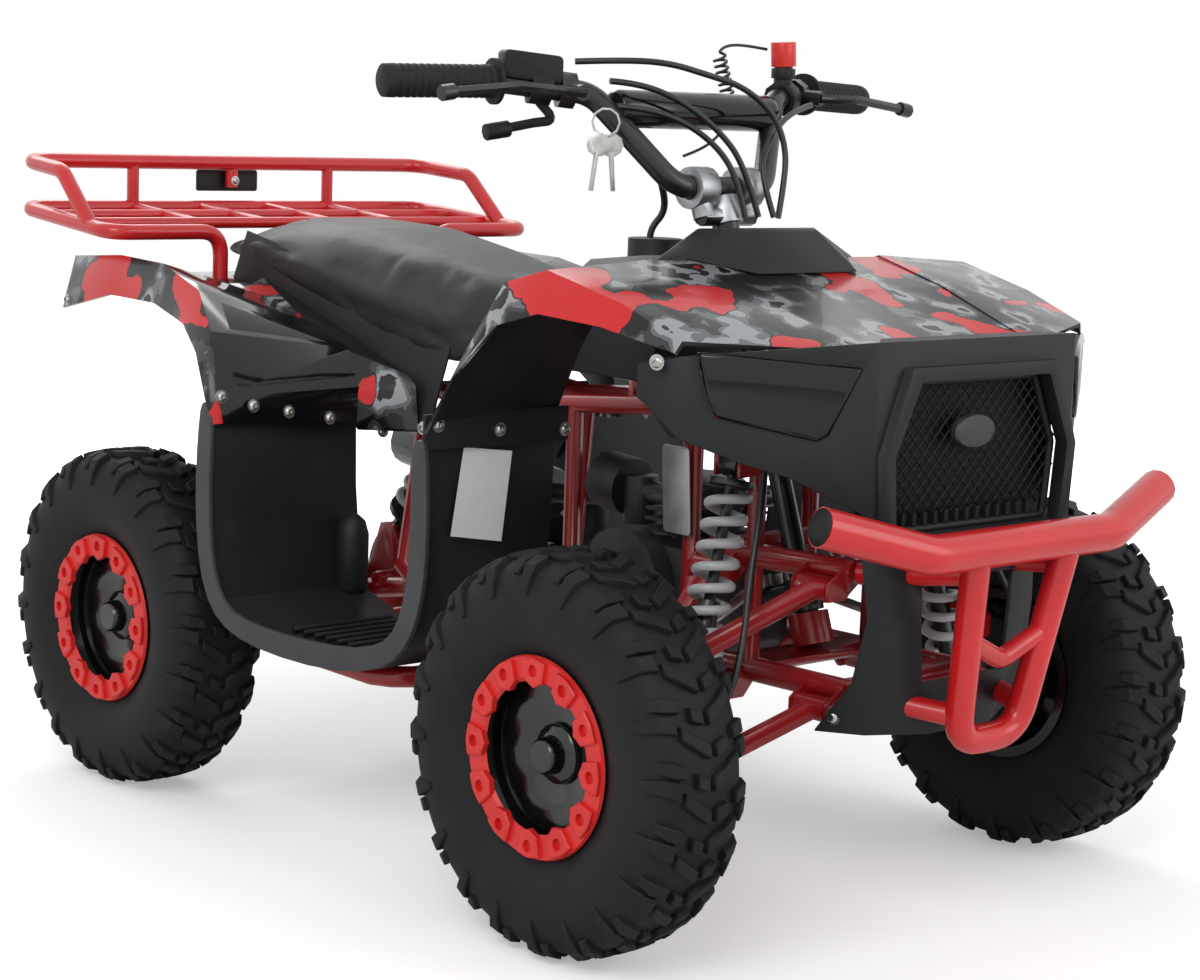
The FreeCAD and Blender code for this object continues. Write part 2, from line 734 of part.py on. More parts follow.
def make_knuckles():
    top = V(-kingpin_x, front_y, axle_z + 70)
    foot = V(-kingpin_x, front_y, axle_z - 66)
    pin = Part.makeCylinder(kingpin_diameter / 2, (top - foot).Length, foot, V(0, 0, 1))
    boss = rod(V(-kingpin_x, front_y, axle_z - 26), V(-kingpin_x, front_y, axle_z + 26), 38)
    drum_face = -front_track / 2 + 28
    spindle = rod(V(-kingpin_x, front_y, axle_z), V(drum_face, front_y, axle_z), 28)
    drum = rod(V(drum_face, front_y, axle_z), V(drum_face + 18, front_y, axle_z), 112)
    shaft = Part.makeCylinder(rear_axle_diameter / 2 - running_clearance, front_track / 2 + 12 - kingpin_x,
                              V(-kingpin_x, front_y, axle_z), V(-1, 0, 0))
    eye = V(-track_arm_eye.x, track_arm_eye.y - stance_front + front_y, track_arm_eye.z + lift)
    arm = rod(V(-kingpin_x, front_y, eye.z), eye + V(0, 0, 0), 14)
    pad = rod(eye - V(0, 0, 5), eye + V(0, 0, 5), 20)
    knuckle = fused([pin, boss, spindle, drum, shaft, arm, pad])
    knuckle = knuckle.cut(Part.makeCylinder(3.2, 30, eye - V(0, 0, 15), V(0, 0, 1)))
    export("knuckle_right", knuckle)
    export("knuckle_left", mirrored(knuckle))
    return eye


def make_tie_rods(ears, eye):
    start = ears[0] + column_axis * 14
    end = eye + V(0, 0, 14)
    body = rod(start, end, tie_rod_diameter)
    ends = [rod(start - column_axis * 5.5, start + column_axis * 5.5, 18),
            rod(end - V(0, 0, 5.5), end + V(0, 0, 5.5), 18)]
    tie = fused([body] + ends)
    export("tie_rod_right", tie)
    export("tie_rod_left", mirrored(tie))


# Front bumper

def make_front_bumper():
    y = stance_front - front_overhang + bumper_tube / 2
    bar = [F(-228, y + 28, 397), F(-121, y, 368), F(121, y, 368), F(228, y + 28, 397)]
    pieces = [tube(bar, bumper_tube, 60)]
    t = bumper_loop_tube
    loop = [F(-61, y + 1, 360), F(-40, -590, 190), F(40, -590, 190), F(61, y + 1, 360)]
    pieces.append(tube(loop, t, 34))
    pieces.append(tube([F(-50, -606, 285), F(0, -600, 262), F(50, -606, 285)], 18, 20))
    pieces += [rod(start, end, size) for start, end, size in bumper_arms()]
    for side in (-1, 1):
        for z in (331, 223):
            pieces.append(plate([F(side * 66, -504, z - 14), F(side * 94, -504, z - 14), F(side * 94, -504, z + 14),
                                 F(side * 66, -504, z + 14)], V(0, 4 - seat_gap, 0)))
    export("front_bumper", fused(pieces))


def bumper_arms():
    """Stays from the bumper to the frame, each with its diameter."""
    return [(F(side * x, y, z), F(side * 80, -504.5, foot), size) for side in (-1, 1)
            for x, y, z, foot, size in ((58, -612, 345, 331, 22), (42, -592, 215, 223, 18))]


# Nose

def make_nose_cowl():
    low, high = 360.0, 560.0
    outer = [F(-282, -424, low), F(-268, -461, low), F(-131, -560, low), F(131, -560, low),
             F(268, -461, low), F(282, -424, low)]
    inner = [F(-279, -421, low), F(-265, -458.5, low), F(-130, -556.5, low), F(130, -556.5, low),
             F(265, -458.5, low), F(279, -421, low)]
    band = plate(outer + list(reversed(inner)), V(0, 0, high - low))
    front_view = [F(-290, -700, 508), F(-268, -700, 525), F(-131, -700, 541), F(131, -700, 541), F(268, -700, 525),
                  F(290, -700, 508), F(275, -700, 480), F(268, -700, 457), F(224, -700, 437), F(189, -700, 425),
                  F(140, -700, 397), F(118, -700, 376), F(-118, -700, 376), F(-140, -700, 397),
                  F(-189, -700, 425), F(-224, -700, 437), F(-268, -700, 457), F(-275, -700, 480)]
    wall = band.common(plate(front_view, V(0, 400, 0)))
    lamp = headlight_solid(1.0)
    cowl = wall.cut([lamp, mirrored(lamp)])
    deck = plate([F(-131, -558, 541), F(131, -558, 541), F(100, -532, 541), F(-100, -532, 541)], V(0, 0, -panel))
    opening = plate(grille_outline(-570, 4), V(0, 40, 0))
    surround = plate(grille_outline(-570, 16), V(0, 14, 0))
    cowl = fused([cowl, deck, surround]).cut(opening)
    export("nose_cowl", cowl)


def grille_outline(y, grow):
    return [F(-82 - grow, y, 503 + grow), F(-112 - grow, y, 443), F(-106 - grow, y, 378 - grow),
            F(106 + grow, y, 378 - grow), F(112 + grow, y, 443), F(82 + grow, y, 503 + grow)]


def make_grille():
    """Diamond mesh in the nose: a plate with a staggered field of openings and a slotted foot."""
    face = plate(grille_outline(-554, 3.5), V(0, 6, 0))
    openings = []
    rows = 7
    for row in range(rows):
        z = 486 - row * mesh_pitch / 2
        half = 100 if row > 2 else 84 + row * 7
        shift = mesh_pitch / 2 if row % 2 else 0.0
        columns = int((half - shift) // mesh_pitch)
        for column in range(-columns - (1 if shift else 0), columns + 1):
            x = column * mesh_pitch + shift
            reach = mesh_pitch / 2 - 2.2
            openings.append(plate([F(x - reach, -556, z), F(x, -556, z + reach), F(x + reach, -556, z),
                                   F(x, -556, z - reach)], V(0, 10, 0)))
    for x in range(-70, 71, 28):
        openings.append(plate([F(x - 11, -556, 386), F(x - 11, -556, 380), F(x + 11, -556, 380),
                               F(x + 11, -556, 386)], V(0, 10, 0)))
    export("grille", face.cut(openings))


def headlight_solid(grow):
    """Lens block in the slanted side of the nose."""
    corners = [(-256, 529), (-143, 519), (-165, 462), (-173, 457), (-242, 475), (-249, 492)]
    out = V(-99, -137, 0).normalize()
    points = [F(x, -560 - (x + 131) * 99 / 137, z) + out * 4 for x, z in corners]
    middle = V(0, 0, 0)
    for p in points:
        middle += p * (1.0 / len(points))
    points = [p + (p - middle).normalize() * grow for p in points]
    return plate(points, out * -24)


def make_headlights():
    export("headlights", both(headlight_solid(0.0)))


def make_lower_fascia():
    outline = [F(-104, -560, 358), F(-86, -560, 300), F(-104, -560, 196), F(-20, -560, 190), F(0, -560, 190),
               F(20, -560, 190), F(104, -560, 196), F(86, -560, 300), F(104, -560, 358)]
    face = plate(outline, V(0, panel, 0))
    window = plate([F(-60, -570, 325), F(60, -570, 325), F(52, -570, 236), F(-52, -570, 236)], V(0, 20, 0))
    holes = [rod(start, end, size + 4) for start, end, size in bumper_arms()]
    export("lower_fascia", face.cut([window] + holes))


# Hood and front fenders

hood_crown = [F(-156, -278, 584.6), F(-156, -300, 592.5), F(-138, -400, 570.5), F(-120, -522, 530.5)]


def edged_panel(stations):
    """A panel of even thickness that turns down at its ridge to a lip, through (inner, ridge, lip)."""
    sections = []
    for i, (inner, ridge, lip) in enumerate(stations):
        before = stations[max(i - 1, 0)][1]
        after = stations[min(i + 1, len(stations) - 1)][1]
        deck = (inner - ridge).normalize()
        drop = (lip - ridge).normalize()
        inward = deck.cross(after - before).normalize() * panel
        inboard = (deck - drop * deck.dot(drop)).normalize() * panel
        sections.append([inner, ridge, lip, lip + inboard, ridge + inboard + inward, inner + inward])
    return loft_solid(sections, [(0, 1, 4), (0, 4, 5), (1, 2, 3), (1, 3, 4)])


front_fender = [
    (F(-150, -168, 440), F(-302, -170, 434), F(-314, -178, 430)),
    (F(-150, -200, 505), F(-294, -204, 500), F(-307, -206, 482)),
    (F(-150, -250, 576), F(-284, -250, 572), F(-292, -250, 534)),
    (F(-150, -300, 594), F(-278, -300, 586), F(-288, -300, 548)),
    (F(-130, -400, 572), F(-272, -390, 564), F(-282, -375, 543)),
    (F(-112, -528, 530), F(-267, -461, 538), F(-272, -458, 528))]


def make_hood():
    """Front body panel with a fender on each side."""
    side = edged_panel(front_fender)
    centre = sheet(hood_crown, [mirror_point(p) for p in hood_crown], V(0, 0, -panel))
    export("hood", fused([side, centre, mirrored(side)]))


def make_hood_cap():
    base = [F(-141, -280, 588), F(141, -280, 588), F(68, -352, 580), F(-68, -352, 580)]
    top = [F(-80, -278, 620), F(80, -278, 620), F(36, -322, 621), F(-36, -322, 621)]
    loft = loft_solid([base, top])
    seat = [p + V(0, 0, seat_gap) for p in hood_crown]
    below = sheet(seat, [mirror_point(p) for p in seat], V(0, 0, -60))
    export("hood_cap", loft.cut(below))


# Footwells

def footwell():
    x_out = -half_width_guard
    x_in = -150.0
    out = [F(-314, -170, 424), F(-304, -164, 320), F(-304, -150, 240), F(x_out + 22, -112, 203),
           R(x_out, 60, 206), R(x_out, 128, 226), R(x_out, 141, 330), R(x_out + 8, 144, 424)]
    inner = [V(x_in, p.y, p.z) for p in out]
    faces = []
    for i in range(len(out) - 1):
        quad = Part.makeRuledSurface(Part.LineSegment(out[i], out[i + 1]).toShape(),
                                     Part.LineSegment(inner[i], inner[i + 1]).toShape())
        faces += quad.Faces
    shell = Part.makeShell(faces)
    return shell.makeOffsetShape(panel, 0.01, fill=True, join=2)


def make_footwells():
    shape = footwell()
    export("footwell_right", shape)
    export("footwell_left", mirrored(shape))


# Rear fender, seat and rack

rear_fender_stations = [
    (R(-160, 508, 526), R(-268, 508, 545), R(-284, 508, 488)),
    (R(-160, 410, 526), R(-270, 410, 552), R(-284, 410, 510)),
    (R(-160, 314, 516), R(-274, 320, 549), R(-286, 320, 508)),
    (R(-160, 217, 494), R(-290, 228, 528), R(-304, 236, 494)),
    (R(-160, 146, 472), R(-312, 172, 492), R(-322, 184, 470)),
    (R(-160, 126, 434), R(-326, 136, 430), R(-336, 145, 428)),
    (R(-160, 127, 398), R(-322, 133, 404), R(-332, 138, 403))]


def make_rear_fender():
    """Gloss fenders with their side panels up to the seat and the tail's deck."""
    side = edged_panel(rear_fender_stations)
    seat_edge = [R(-134, 60, 396), R(-134, 66, 440), R(-134, 80, 450), R(-134, 178, 481), R(-134, 340, 530)]
    fender_edge = [R(-162, 128, 392), R(-162, 127, 430), R(-162, 147, 470), R(-162, 217, 492.5),
                   R(-162, 340, 519)]
    back = V(panel * 0.7, 0, -panel)
    cheek = loft_solid([[a, b, b + back, a + back] for a, b in zip(seat_edge, fender_edge)])
    deck = plate([R(-164, 396, 524), R(-164, 508, 524.5), R(164, 508, 524.5), R(164, 396, 524)], V(0, 0, -panel))
    export("rear_fender", fused([side, cheek, deck, mirrored(side), mirrored(cheek)]))


def seat_section(y, half_top, half_low, z_top, z_low):
    """One closed rib of the seat, seen from the front."""
    right = [R(-half_low + 4, y, z_low), R(-half_low, y, (z_top + z_low) / 2), R(-half_top, y, z_top - 8),
             R(-half_top * 0.6, y, z_top + 3)]
    return right + [mirror_point(p) for p in reversed(right)]


def make_seat():
    ribs = [seat_section(-40, 52, 70, 540, 500), seat_section(40, 84, 112, 548, 462),
            seat_section(140, 92, 128, 566, 476), seat_section(260, 98, 134, 584, 512),
            seat_section(380, 98, 130, 588, 545), seat_section(452, 84, 112, 576, 547)]
    export("seat", loft_solid(ribs))


def make_rear_rack():
    t = rack_tube
    half_loop = [R(-152, 400, 547), R(-152, 400, 577), R(-290, 400, 577), R(-278, 601, 593)]
    loop = half_loop + [mirror_point(p) for p in reversed(half_loop)]
    pieces = [tube(loop, t, 24)]
    corner = tube([R(-287, 446, 582), R(-285, 508, 638), R(-278, 601, 646), R(-250, 601, 646)], t, 30)
    clamp_seat = Part.makeCylinder(t / 2, 100, R(25, 601, 646), V(1, 0, 0))
    pieces += [corner, mirrored(corner), rod(R(-260, 601, 646), R(25, 601, 646), t), clamp_seat,
               rod(R(125, 601, 646), R(260, 601, 646), t)]
    for side in (-1, 1):
        pieces.append(rod(R(side * 138, 601, 593), R(side * 138, 601, 646), t - 3))
        pieces.append(rod(R(side * 138, 470, 582.6), R(side * 138, 601, 593), t - 4))
        pieces.append(rod(R(side * 46, 470, 582.6), R(side * 46, 601, 593), t - 4))
    for y, z in ((470, 582.6), (535, 587.8)):
        pieces.append(rod(R(-284, y, z), R(284, y, z), t - 4))
    back = stance_rear + rear_overhang - panel
    tab = plate([R(-9, back - seat_gap, 652), R(9, back - seat_gap, 652), R(9, back - seat_gap, 612),
                 R(-9, back - seat_gap, 612)], V(0, -5, 0))
    pieces.append(tab)
    export("rear_rack", fused(pieces))
    tail = rounded_plate([R(-43, back, 612), R(43, back, 612), R(43, back, 637), R(-43, back, 637)],
                         V(0, panel, 0), 3)
    export("tail_plate", tail)


# Engine and what feeds it

def make_engine():
    """Small air-cooled engine: case, finned barrel and head, pull starter, carburettor and air filter."""
    low = F(-engine_width / 2, engine_y - engine_length / 2, engine_z)
    case = Part.makeBox(engine_width, engine_length, engine_height, low)
    case = case.makeChamfer(14, [e for e in case.Edges if abs(e.tangentAt(e.FirstParameter).x) > 0.9])
    starter = rod(F(-engine_width / 2 - 24, engine_y, engine_z + 72), F(-engine_width / 2, engine_y, engine_z + 72), 104)
    cover = rod(F(-engine_width / 2 - 30, engine_y, engine_z + 72), F(-engine_width / 2 - 24, engine_y, engine_z + 72), 60)
    barrel = rod(F(0, engine_y - 20, engine_z + 100), F(0, engine_y - 30, engine_z + 170), 66)
    parts = [case, starter, cover, barrel]
    for i in range(fin_count):
        z = engine_z + engine_height + 6 + i * fin_pitch
        y = engine_y - 20 - i * 1.2
        parts.append(plate([F(-42, y - 42, z), F(42, y - 42, z), F(42, y + 42, z), F(-42, y + 42, z)], V(0, 0, 3)))
    intake = rod(F(0, engine_y + 10, engine_z + 140), F(0, engine_y + 62, engine_z + 146), 22)
    bowl = rod(F(0, engine_y + 72, engine_z + 112), F(0, engine_y + 72, engine_z + 160), 34)
    filter_can = rod(F(0, engine_y + 84, engine_z + 146), F(0, engine_y + 124, engine_z + 150), 58)
    export("engine", fused(parts + [intake, bowl, filter_can]))


def make_exhaust():
    pipe = tube([F(43, -232, 350), F(112, -226, 350), F(120, -140, 330), R(120, 150, 300)], 22, 40)
    silencer = rod(R(120, 140, 300), R(120, 400, 330), 58)
    export("exhaust", fused([pipe, silencer]))


def make_fuel_tank():
    body = loft_solid([[F(-76, y, 470), F(76, y, 470), F(74, y, top - 12), F(58, y, top), F(-58, y, top),
                        F(-74, y, top - 12)] for y, top in ((-225, 588), (-180, 588), (-110, 580), (-60, 545))])
    cap = rod(F(0, -140, 576), F(0, -140, 602), 54)
    export("fuel_tank", fused([body, cap]))
    hose = [F(0, -132, 602.3), F(0, -132, 611), F(12, -140, 628), F(2, -146, 652), F(-16, -148, 680), F(-50, -146, 698)]
    export("vent_hose", cord(hose, 7))


def make_id_plate():
    """Blank data plate hung on the right-hand front post."""
    x = -88.0 - 8.0
    blank = rounded_plate([F(x, -304, 336), F(x, -268, 336), F(x, -262, 418), F(x, -298, 418)], V(1.2, 0, 0), 4)
    export("id_plate", blank)
    return blank


# Controls on the bar

def bar_clamp(side, x, width, diameter):
    """A ring on the outer run of the bar, centred at a distance x from the middle."""
    inner, outer = bar_path(side)[2], bar_path(side)[3]
    along = (outer - inner).normalize()
    share = (x - abs(inner.x)) / abs(outer.x - inner.x)
    centre = inner + (outer - inner) * share
    ring = rod(centre - along * (width / 2), centre + along * (width / 2), diameter)
    bore = Part.makeCylinder(bar_tube / 2 + seat_gap, width + 60, centre - along * (width / 2 + 30), along)
    return centre, along, ring, bore


def make_throttle_box():
    centre, along, ring, bore = bar_clamp(-1, 167, 20, 34)
    across = V(along.y, -along.x, 0).normalize()
    low = centre - along * 19 - across * 14 + V(0, 0, 5)
    box = rounded_plate([low, low + along * 56, low + along * 56 + V(0, 0, 25), low + V(0, 0, 25)],
                        across * 28, 5)
    arm = tube([centre - V(0, 0, 14), F(-156, -163, 714), F(-180, -160, 711), F(-223, -150, 702)], 9, 10)
    pad = rod(F(-205, -154, 705), F(-228, -149, 701), 15)
    export("throttle_box", fused([ring, box, arm, pad]).cut(bore))


def make_kill_switch():
    centre, along, ring, bore = bar_clamp(1, 148, 20, 34)
    neck = rod(centre + V(0, 0, 6), centre + V(0, 0, 32), 18)
    collar = rod(centre + V(0, 0, 20), centre + V(0, 0, 30), 24)
    cap = rod(centre + V(0, 0, 32), centre + V(-2, 0, 56), 25)
    export("kill_switch", fused([ring, neck, collar, cap]).cut(bore))


def make_keys():
    """Two keys on a wire ring that hangs from the bar."""
    middle = F(-128, -203, 714)
    face = V(0.6, 0.8, 0)
    ring = rod(middle - face, middle + face, 27).cut(rod(middle - face * 2, middle + face * 2, 23))
    keys = [ring]
    for lean, spread in ((-0.16, -5), (0.12, 5)):
        head = middle + V(spread, -0.4 * spread, -12)
        down = V(lean, 0, -1).normalize()
        keys.append(rod(head + down * 9, head + down * 9 + face * 3.4, 22))
        keys.append(rod(head + down * 16 + V(0, 1.4, 0), head + down * 52 + V(0, 1.4, 0), 4.4))
    export("keys", fused(keys))


# Cables and cords

cable = 6.0

throttle_route = [F(-138, -168, 769), F(-105, -200, 772), F(-66, -220, 771), F(-22, -229, 761), F(22, -231, 752),
                  F(58, -238, 728), F(70, -246, 694), F(62, -252, 658), F(52, -256, 628)]
upper_brake_route = [F(-118, -196, 752), F(-89, -205, 751), F(-50, -220, 737), F(-14, -234, 712),
                     F(10, -250, 678), F(22, -259, 629)]
lower_brake_route = [F(-118, -206, 729), F(-87, -214, 728), F(-46, -226, 716), F(-16, -242, 692),
                     F(-2, -254, 662), F(4, -259, 629)]
left_brake_route = [F(160, -190, 737), F(128, -205, 733), F(88, -222, 722), F(50, -240, 700), F(28, -252, 672),
                    F(36, -266, 629)]


def make_bar_cables():
    routes = (throttle_route, upper_brake_route, lower_brake_route, left_brake_route)
    tubes = [cord(route, cable) for route in routes]
    boot = Part.makeCone(3.5, 6, 24, F(-50, -223.6, 767.4), V(0.95, -0.2, -0.22))
    tubes[0] = fused([tubes[0], boot])
    export("bar_cables", Part.makeCompound(tubes))


brake_route = [F(-98, -330, 478), F(-110, -412, 462), F(-134, -434, 392), F(-158, -446, 330), F(-186, -468, 268),
               F(-204, -468, 218), F(-216, -446, 184)]


def make_brake_cables():
    export("brake_cables", both(cord(brake_route, cable)))


lanyard = 4.0
lanyard_lead = [F(132, -152, 791), F(104, -150, 794), F(78, -150, 793), F(66, -150, 786)]
lanyard_tail = [F(83, -151, 737), F(74, -156, 718), F(52, -168, 702), F(18, -180, 690), F(-12, -188, 684)]


def make_lanyard():
    lead = cord(lanyard_lead, lanyard)
    tail = cord(lanyard_tail, lanyard)
    export("lanyard_cord", Part.makeCompound([lead, tail]))
    along = (lanyard_tail[0] - lanyard_lead[-1]).normalize()
    coil = rod(lanyard_lead[-1] + along * 2.5, lanyard_tail[0] - along * 2.5, 16)
    export("lanyard_coil", coil)


def build():
    make_wheels()
    make_rear_axle()
    make_sprocket_and_disc()
    make_chain()
    make_frame()
    make_arms()
    make_shocks()
    make_swingarm()
    ears = make_steering_column()
    make_handlebar()
    make_levers()
    eye = make_knuckles()
    make_tie_rods(ears, eye)
    make_front_bumper()
    make_nose_cowl()
    make_grille()
    make_headlights()
    make_lower_fascia()
    make_hood()
    make_hood_cap()
    make_footwells()
    make_rear_fender()
    make_seat()
    make_rear_rack()
    make_engine()
    make_exhaust()
    make_fuel_tank()
    make_id_plate()
    make_throttle_box()
    make_kill_switch()
    make_keys()
    make_bar_cables()
    make_brake_cables()
    make_lanyard()


build()
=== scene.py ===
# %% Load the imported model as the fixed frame
import bmesh
import bpy
import json
import math
from mathutils import Matrix, Vector


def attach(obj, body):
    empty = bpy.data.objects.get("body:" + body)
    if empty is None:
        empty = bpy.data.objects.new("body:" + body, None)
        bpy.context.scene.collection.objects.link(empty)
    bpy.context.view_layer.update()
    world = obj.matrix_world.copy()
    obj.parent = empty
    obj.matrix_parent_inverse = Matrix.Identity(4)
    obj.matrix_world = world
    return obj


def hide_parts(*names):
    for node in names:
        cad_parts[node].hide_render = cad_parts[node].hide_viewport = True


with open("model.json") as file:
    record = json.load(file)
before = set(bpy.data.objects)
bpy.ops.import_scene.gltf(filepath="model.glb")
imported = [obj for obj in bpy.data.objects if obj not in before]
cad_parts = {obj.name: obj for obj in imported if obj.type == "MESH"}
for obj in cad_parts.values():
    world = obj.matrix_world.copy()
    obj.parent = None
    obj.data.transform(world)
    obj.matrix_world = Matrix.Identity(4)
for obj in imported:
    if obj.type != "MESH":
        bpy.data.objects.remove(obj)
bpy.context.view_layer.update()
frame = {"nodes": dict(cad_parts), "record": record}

# %% [markdown]
# This notebook dresses a small four-wheeled quad bike for a child. The CAD model gives every
# part its place. Here we give the parts rounded edges, real tube shapes, tread, soft pieces and
# finishes. The camera comes first, because every later step is judged from where it stands.

# %% Points in the vehicle's own frame
FORWARD_SHIFT = 10.5


def at(x, y, z):
    """A point in millimetres on the drawing, turned to metres in the frame."""
    return Vector((x, y + FORWARD_SHIFT, z)) / 1000


def other_side(points):
    """The same points mirrored to the left side."""
    return [Vector((-p.x, p.y, p.z)) for p in points]


def placed(name, data):
    """A new object with this data, linked to the scene."""
    made = bpy.data.objects.new(name, data)
    bpy.context.scene.collection.objects.link(made)
    return made


# %% The camera
yaw, pitch, roll = (math.radians(a) for a in (42.331, 8.459, 2.066))
forward = Vector((math.sin(yaw) * math.cos(pitch), math.cos(yaw) * math.cos(pitch), -math.sin(pitch)))
level = Vector((math.cos(yaw), -math.sin(yaw), 0))
above = level.cross(forward)
right = math.cos(roll) * level + math.sin(roll) * above
up = math.cos(roll) * above - math.sin(roll) * level
view = bpy.data.cameras.new("view")
view.lens = 77.505
view.sensor_width = 36
view.sensor_fit = "HORIZONTAL"
view.shift_x = -0.0059
view.shift_y = 0.0005
camera = placed("view", view)
turned_to = Matrix((right, up, -forward)).transposed().to_4x4()
camera.matrix_world = Matrix.Translation((-1.751, -1.994, 0.7288)) @ turned_to
bpy.context.scene.camera = camera
print("camera at", tuple(camera.location))

# %% [markdown]
# Every piece needs the same few steps: it rides on a body, and it may stand for CAD nodes, which
# are then hidden. Small helpers for these steps, for turning normals outward and for rounding
# edges come before anything is built.


# %% Selecting and settling pieces
def only(*pieces):
    """Selects these pieces and nothing else."""
    bpy.ops.object.select_all(action="DESELECT")
    for piece in pieces:
        piece.select_set(True)
    bpy.context.view_layer.objects.active = pieces[0]


def outward(piece):
    """Makes all normals of a piece agree, and point outward where its shape is closed."""
    only(piece)
    bpy.ops.object.mode_set(mode="EDIT")
    bpy.ops.mesh.select_all(action="SELECT")
    bpy.ops.mesh.normals_make_consistent(inside=False)
    bpy.ops.object.mode_set(mode="OBJECT")


def smooth_under(piece, angle):
    """Smooth shading, with edges sharper than the angle left crisp."""
    only(piece)
    bpy.ops.object.shade_smooth_by_angle(angle=math.radians(angle))


def bevelled(piece, width_mm, segments, angle):
    """Adds a rounding to the edges that are sharper than the angle."""
    edges = piece.modifiers.new("edges", "BEVEL")
    edges.width = width_mm / 1000
    edges.segments = segments
    edges.limit_method = "ANGLE"
    edges.angle_limit = math.radians(angle)


def apply_all(piece):
    """Applies every modifier of a piece in its order."""
    only(piece)
    for name in [m.name for m in piece.modifiers]:
        bpy.ops.object.modifier_apply(modifier=name)


node_body = {n: body for body, names in frame["record"]["behaviour"]["bodies"].items() for n in names}


def settle(piece, body, slot, *nodes):
    """Rides on a body and hides the nodes that it stands for. Its slot is not used."""
    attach(piece, body)
    if nodes:
        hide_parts(*nodes)
    return piece


# %% [markdown]
# A finish is a small tree of shader nodes. Colour and roughness drift over patches of a real
# size, and a fine grain gives the surface its relief.

# %% Colours and the node helper
def colour(code):
    """An sRGB hex value as linear light."""
    parts = [int(code[i:i + 2], 16) / 255 for i in (1, 3, 5)]
    return tuple(c / 12.92 if c <= 0.04045 else ((c + 0.055) / 1.055) ** 2.4 for c in parts) + (1.0,)


def add(tree, kind, inputs=(), **settings):
    """Adds one node with its settings, values and links."""
    made = tree.nodes.new(kind)
    for key, value in settings.items():
        setattr(made, key, value)
    for key, value in dict(inputs).items():
        if isinstance(value, bpy.types.NodeSocket):
            tree.links.new(value, made.inputs[key])
        else:
            made.inputs[key].default_value = value
    return made


def blank(name, **sockets):
    """A new material with its shader, and Object coordinates."""
    made = bpy.data.materials.new(name)
    made.use_nodes = True
    tree = made.node_tree
    shader = tree.nodes["Principled BSDF"]
    for key, value in sockets.items():
        shader.inputs[key.replace("_", " ")].default_value = value
    place = add(tree, "ShaderNodeTexCoord").outputs["Object"]
    return made, tree, shader, place


def patchy(tree, place, first, second, patch_mm):
    """Two colours that drift into each other over patches of a real size."""
    drift = add(tree, "ShaderNodeTexNoise", {"Vector": place, "Scale": 1000 / patch_mm, "Detail": 3.0})
    ramp = add(tree, "ShaderNodeValToRGB", {"Fac": drift.outputs["Fac"]})
    for element, position, code in zip(ramp.color_ramp.elements, (0.35, 0.65), (first, second)):
        element.position = position
        element.color = colour(code)
    return ramp.outputs["Color"], drift.outputs["Fac"]


def relief(tree, height, depth_mm):
    """A bump of a real depth."""
    bump = add(tree, "ShaderNodeBump", {"Height": height, "Distance": depth_mm / 1000, "Strength": 1.0})
    return bump.outputs[0]


def finish(name, first, second, rough, patch_mm, grain_mm=0, depth_mm=0.0, metal=0.0, coat=0.0, shine=0.5):
    """A surface of one material: colour drift, roughness drift and a grain of a real size."""
    made, tree, shader, place = blank(name, Metallic=metal, Coat_Weight=coat, Specular_IOR_Level=shine)
    if coat:
        shader.inputs["Coat Roughness"].default_value = 0.06
    shade, drift = patchy(tree, place, first, second, patch_mm)
    tree.links.new(shade, shader.inputs["Base Color"])
    spread = add(tree, "ShaderNodeMapRange", {"Value": drift, "To Min": rough[0], "To Max": rough[1]})
    tree.links.new(spread.outputs[0], shader.inputs["Roughness"])
    if grain_mm:
        grain = add(tree, "ShaderNodeTexNoise", {"Vector": place, "Scale": 1000 / grain_mm, "Detail": 2.0})
        tree.links.new(relief(tree, grain.outputs["Fac"], depth_mm), shader.inputs["Normal"])
    return made


# %% [markdown]
# The finishes are named for what the real parts are made of. Powder coat flows over the steel
# and dries with a faint orange peel. Moulded polypropylene comes out of its mould with an etched
# grain that spreads the light. Zinc plated bolts are grey with a yellow tint. The blacks have less
# shine than a default plastic, because dust and grain swallow part of it.

# %% Finishes
frame_coat = finish("powder_coated_steel_dark_red", "#8E0F14", "#A21419", (0.28, 0.38), 90, 2.5, 0.05,
                    coat=0.3)
bright_coat = finish("powder_coated_steel_bright_red", "#C4161C", "#D41E22", (0.25, 0.35), 90, 2.5, 0.05,
                     coat=0.3)
ring_red = finish("moulded_nylon_red", "#D3201F", "#DE2D28", (0.34, 0.46), 50, 1.5, 0.05)
satin_black = finish("powder_coated_steel_black", "#16171A", "#1E1F22", (0.3, 0.42), 60, 2.0, 0.04, coat=0.2)
gloss_black = finish("moulded_abs_gloss_black", "#0B0C0E", "#121316", (0.07, 0.14), 120, coat=0.35, shine=0.3)
matt_black = finish("moulded_polypropylene_grained", "#191A1C", "#202124", (0.46, 0.58), 80, 0.9, 0.06,
                    shine=0.3)
dark_black = finish("moulded_polypropylene_dark", "#101113", "#161719", (0.45, 0.58), 80, 0.9, 0.06,
                    shine=0.3)
rubber = finish("moulded_rubber", "#141415", "#1C1C1D", (0.55, 0.7), 30, 1.2, 0.06, shine=0.3)
tyre_rubber = finish("vulcanised_tyre_rubber", "#121314", "#1B1C1D", (0.55, 0.72), 45, 1.6, 0.12, shine=0.25)
rim_enamel = finish("baked_enamel_black", "#0C0D0E", "#141517", (0.12, 0.22), 60, coat=0.4)
plated = finish("zinc_plated_steel", "#A9ABA8", "#C2C3BE", (0.25, 0.4), 12, metal=1.0)
cast_alloy = finish("cast_aluminium", "#9DA0A3", "#B4B7B9", (0.35, 0.5), 20, 1.0, 0.08, metal=1.0)
spring_coat = finish("powder_coated_spring_grey", "#B9BCBE", "#CBCDCE", (0.3, 0.4), 40, 1.5, 0.03)
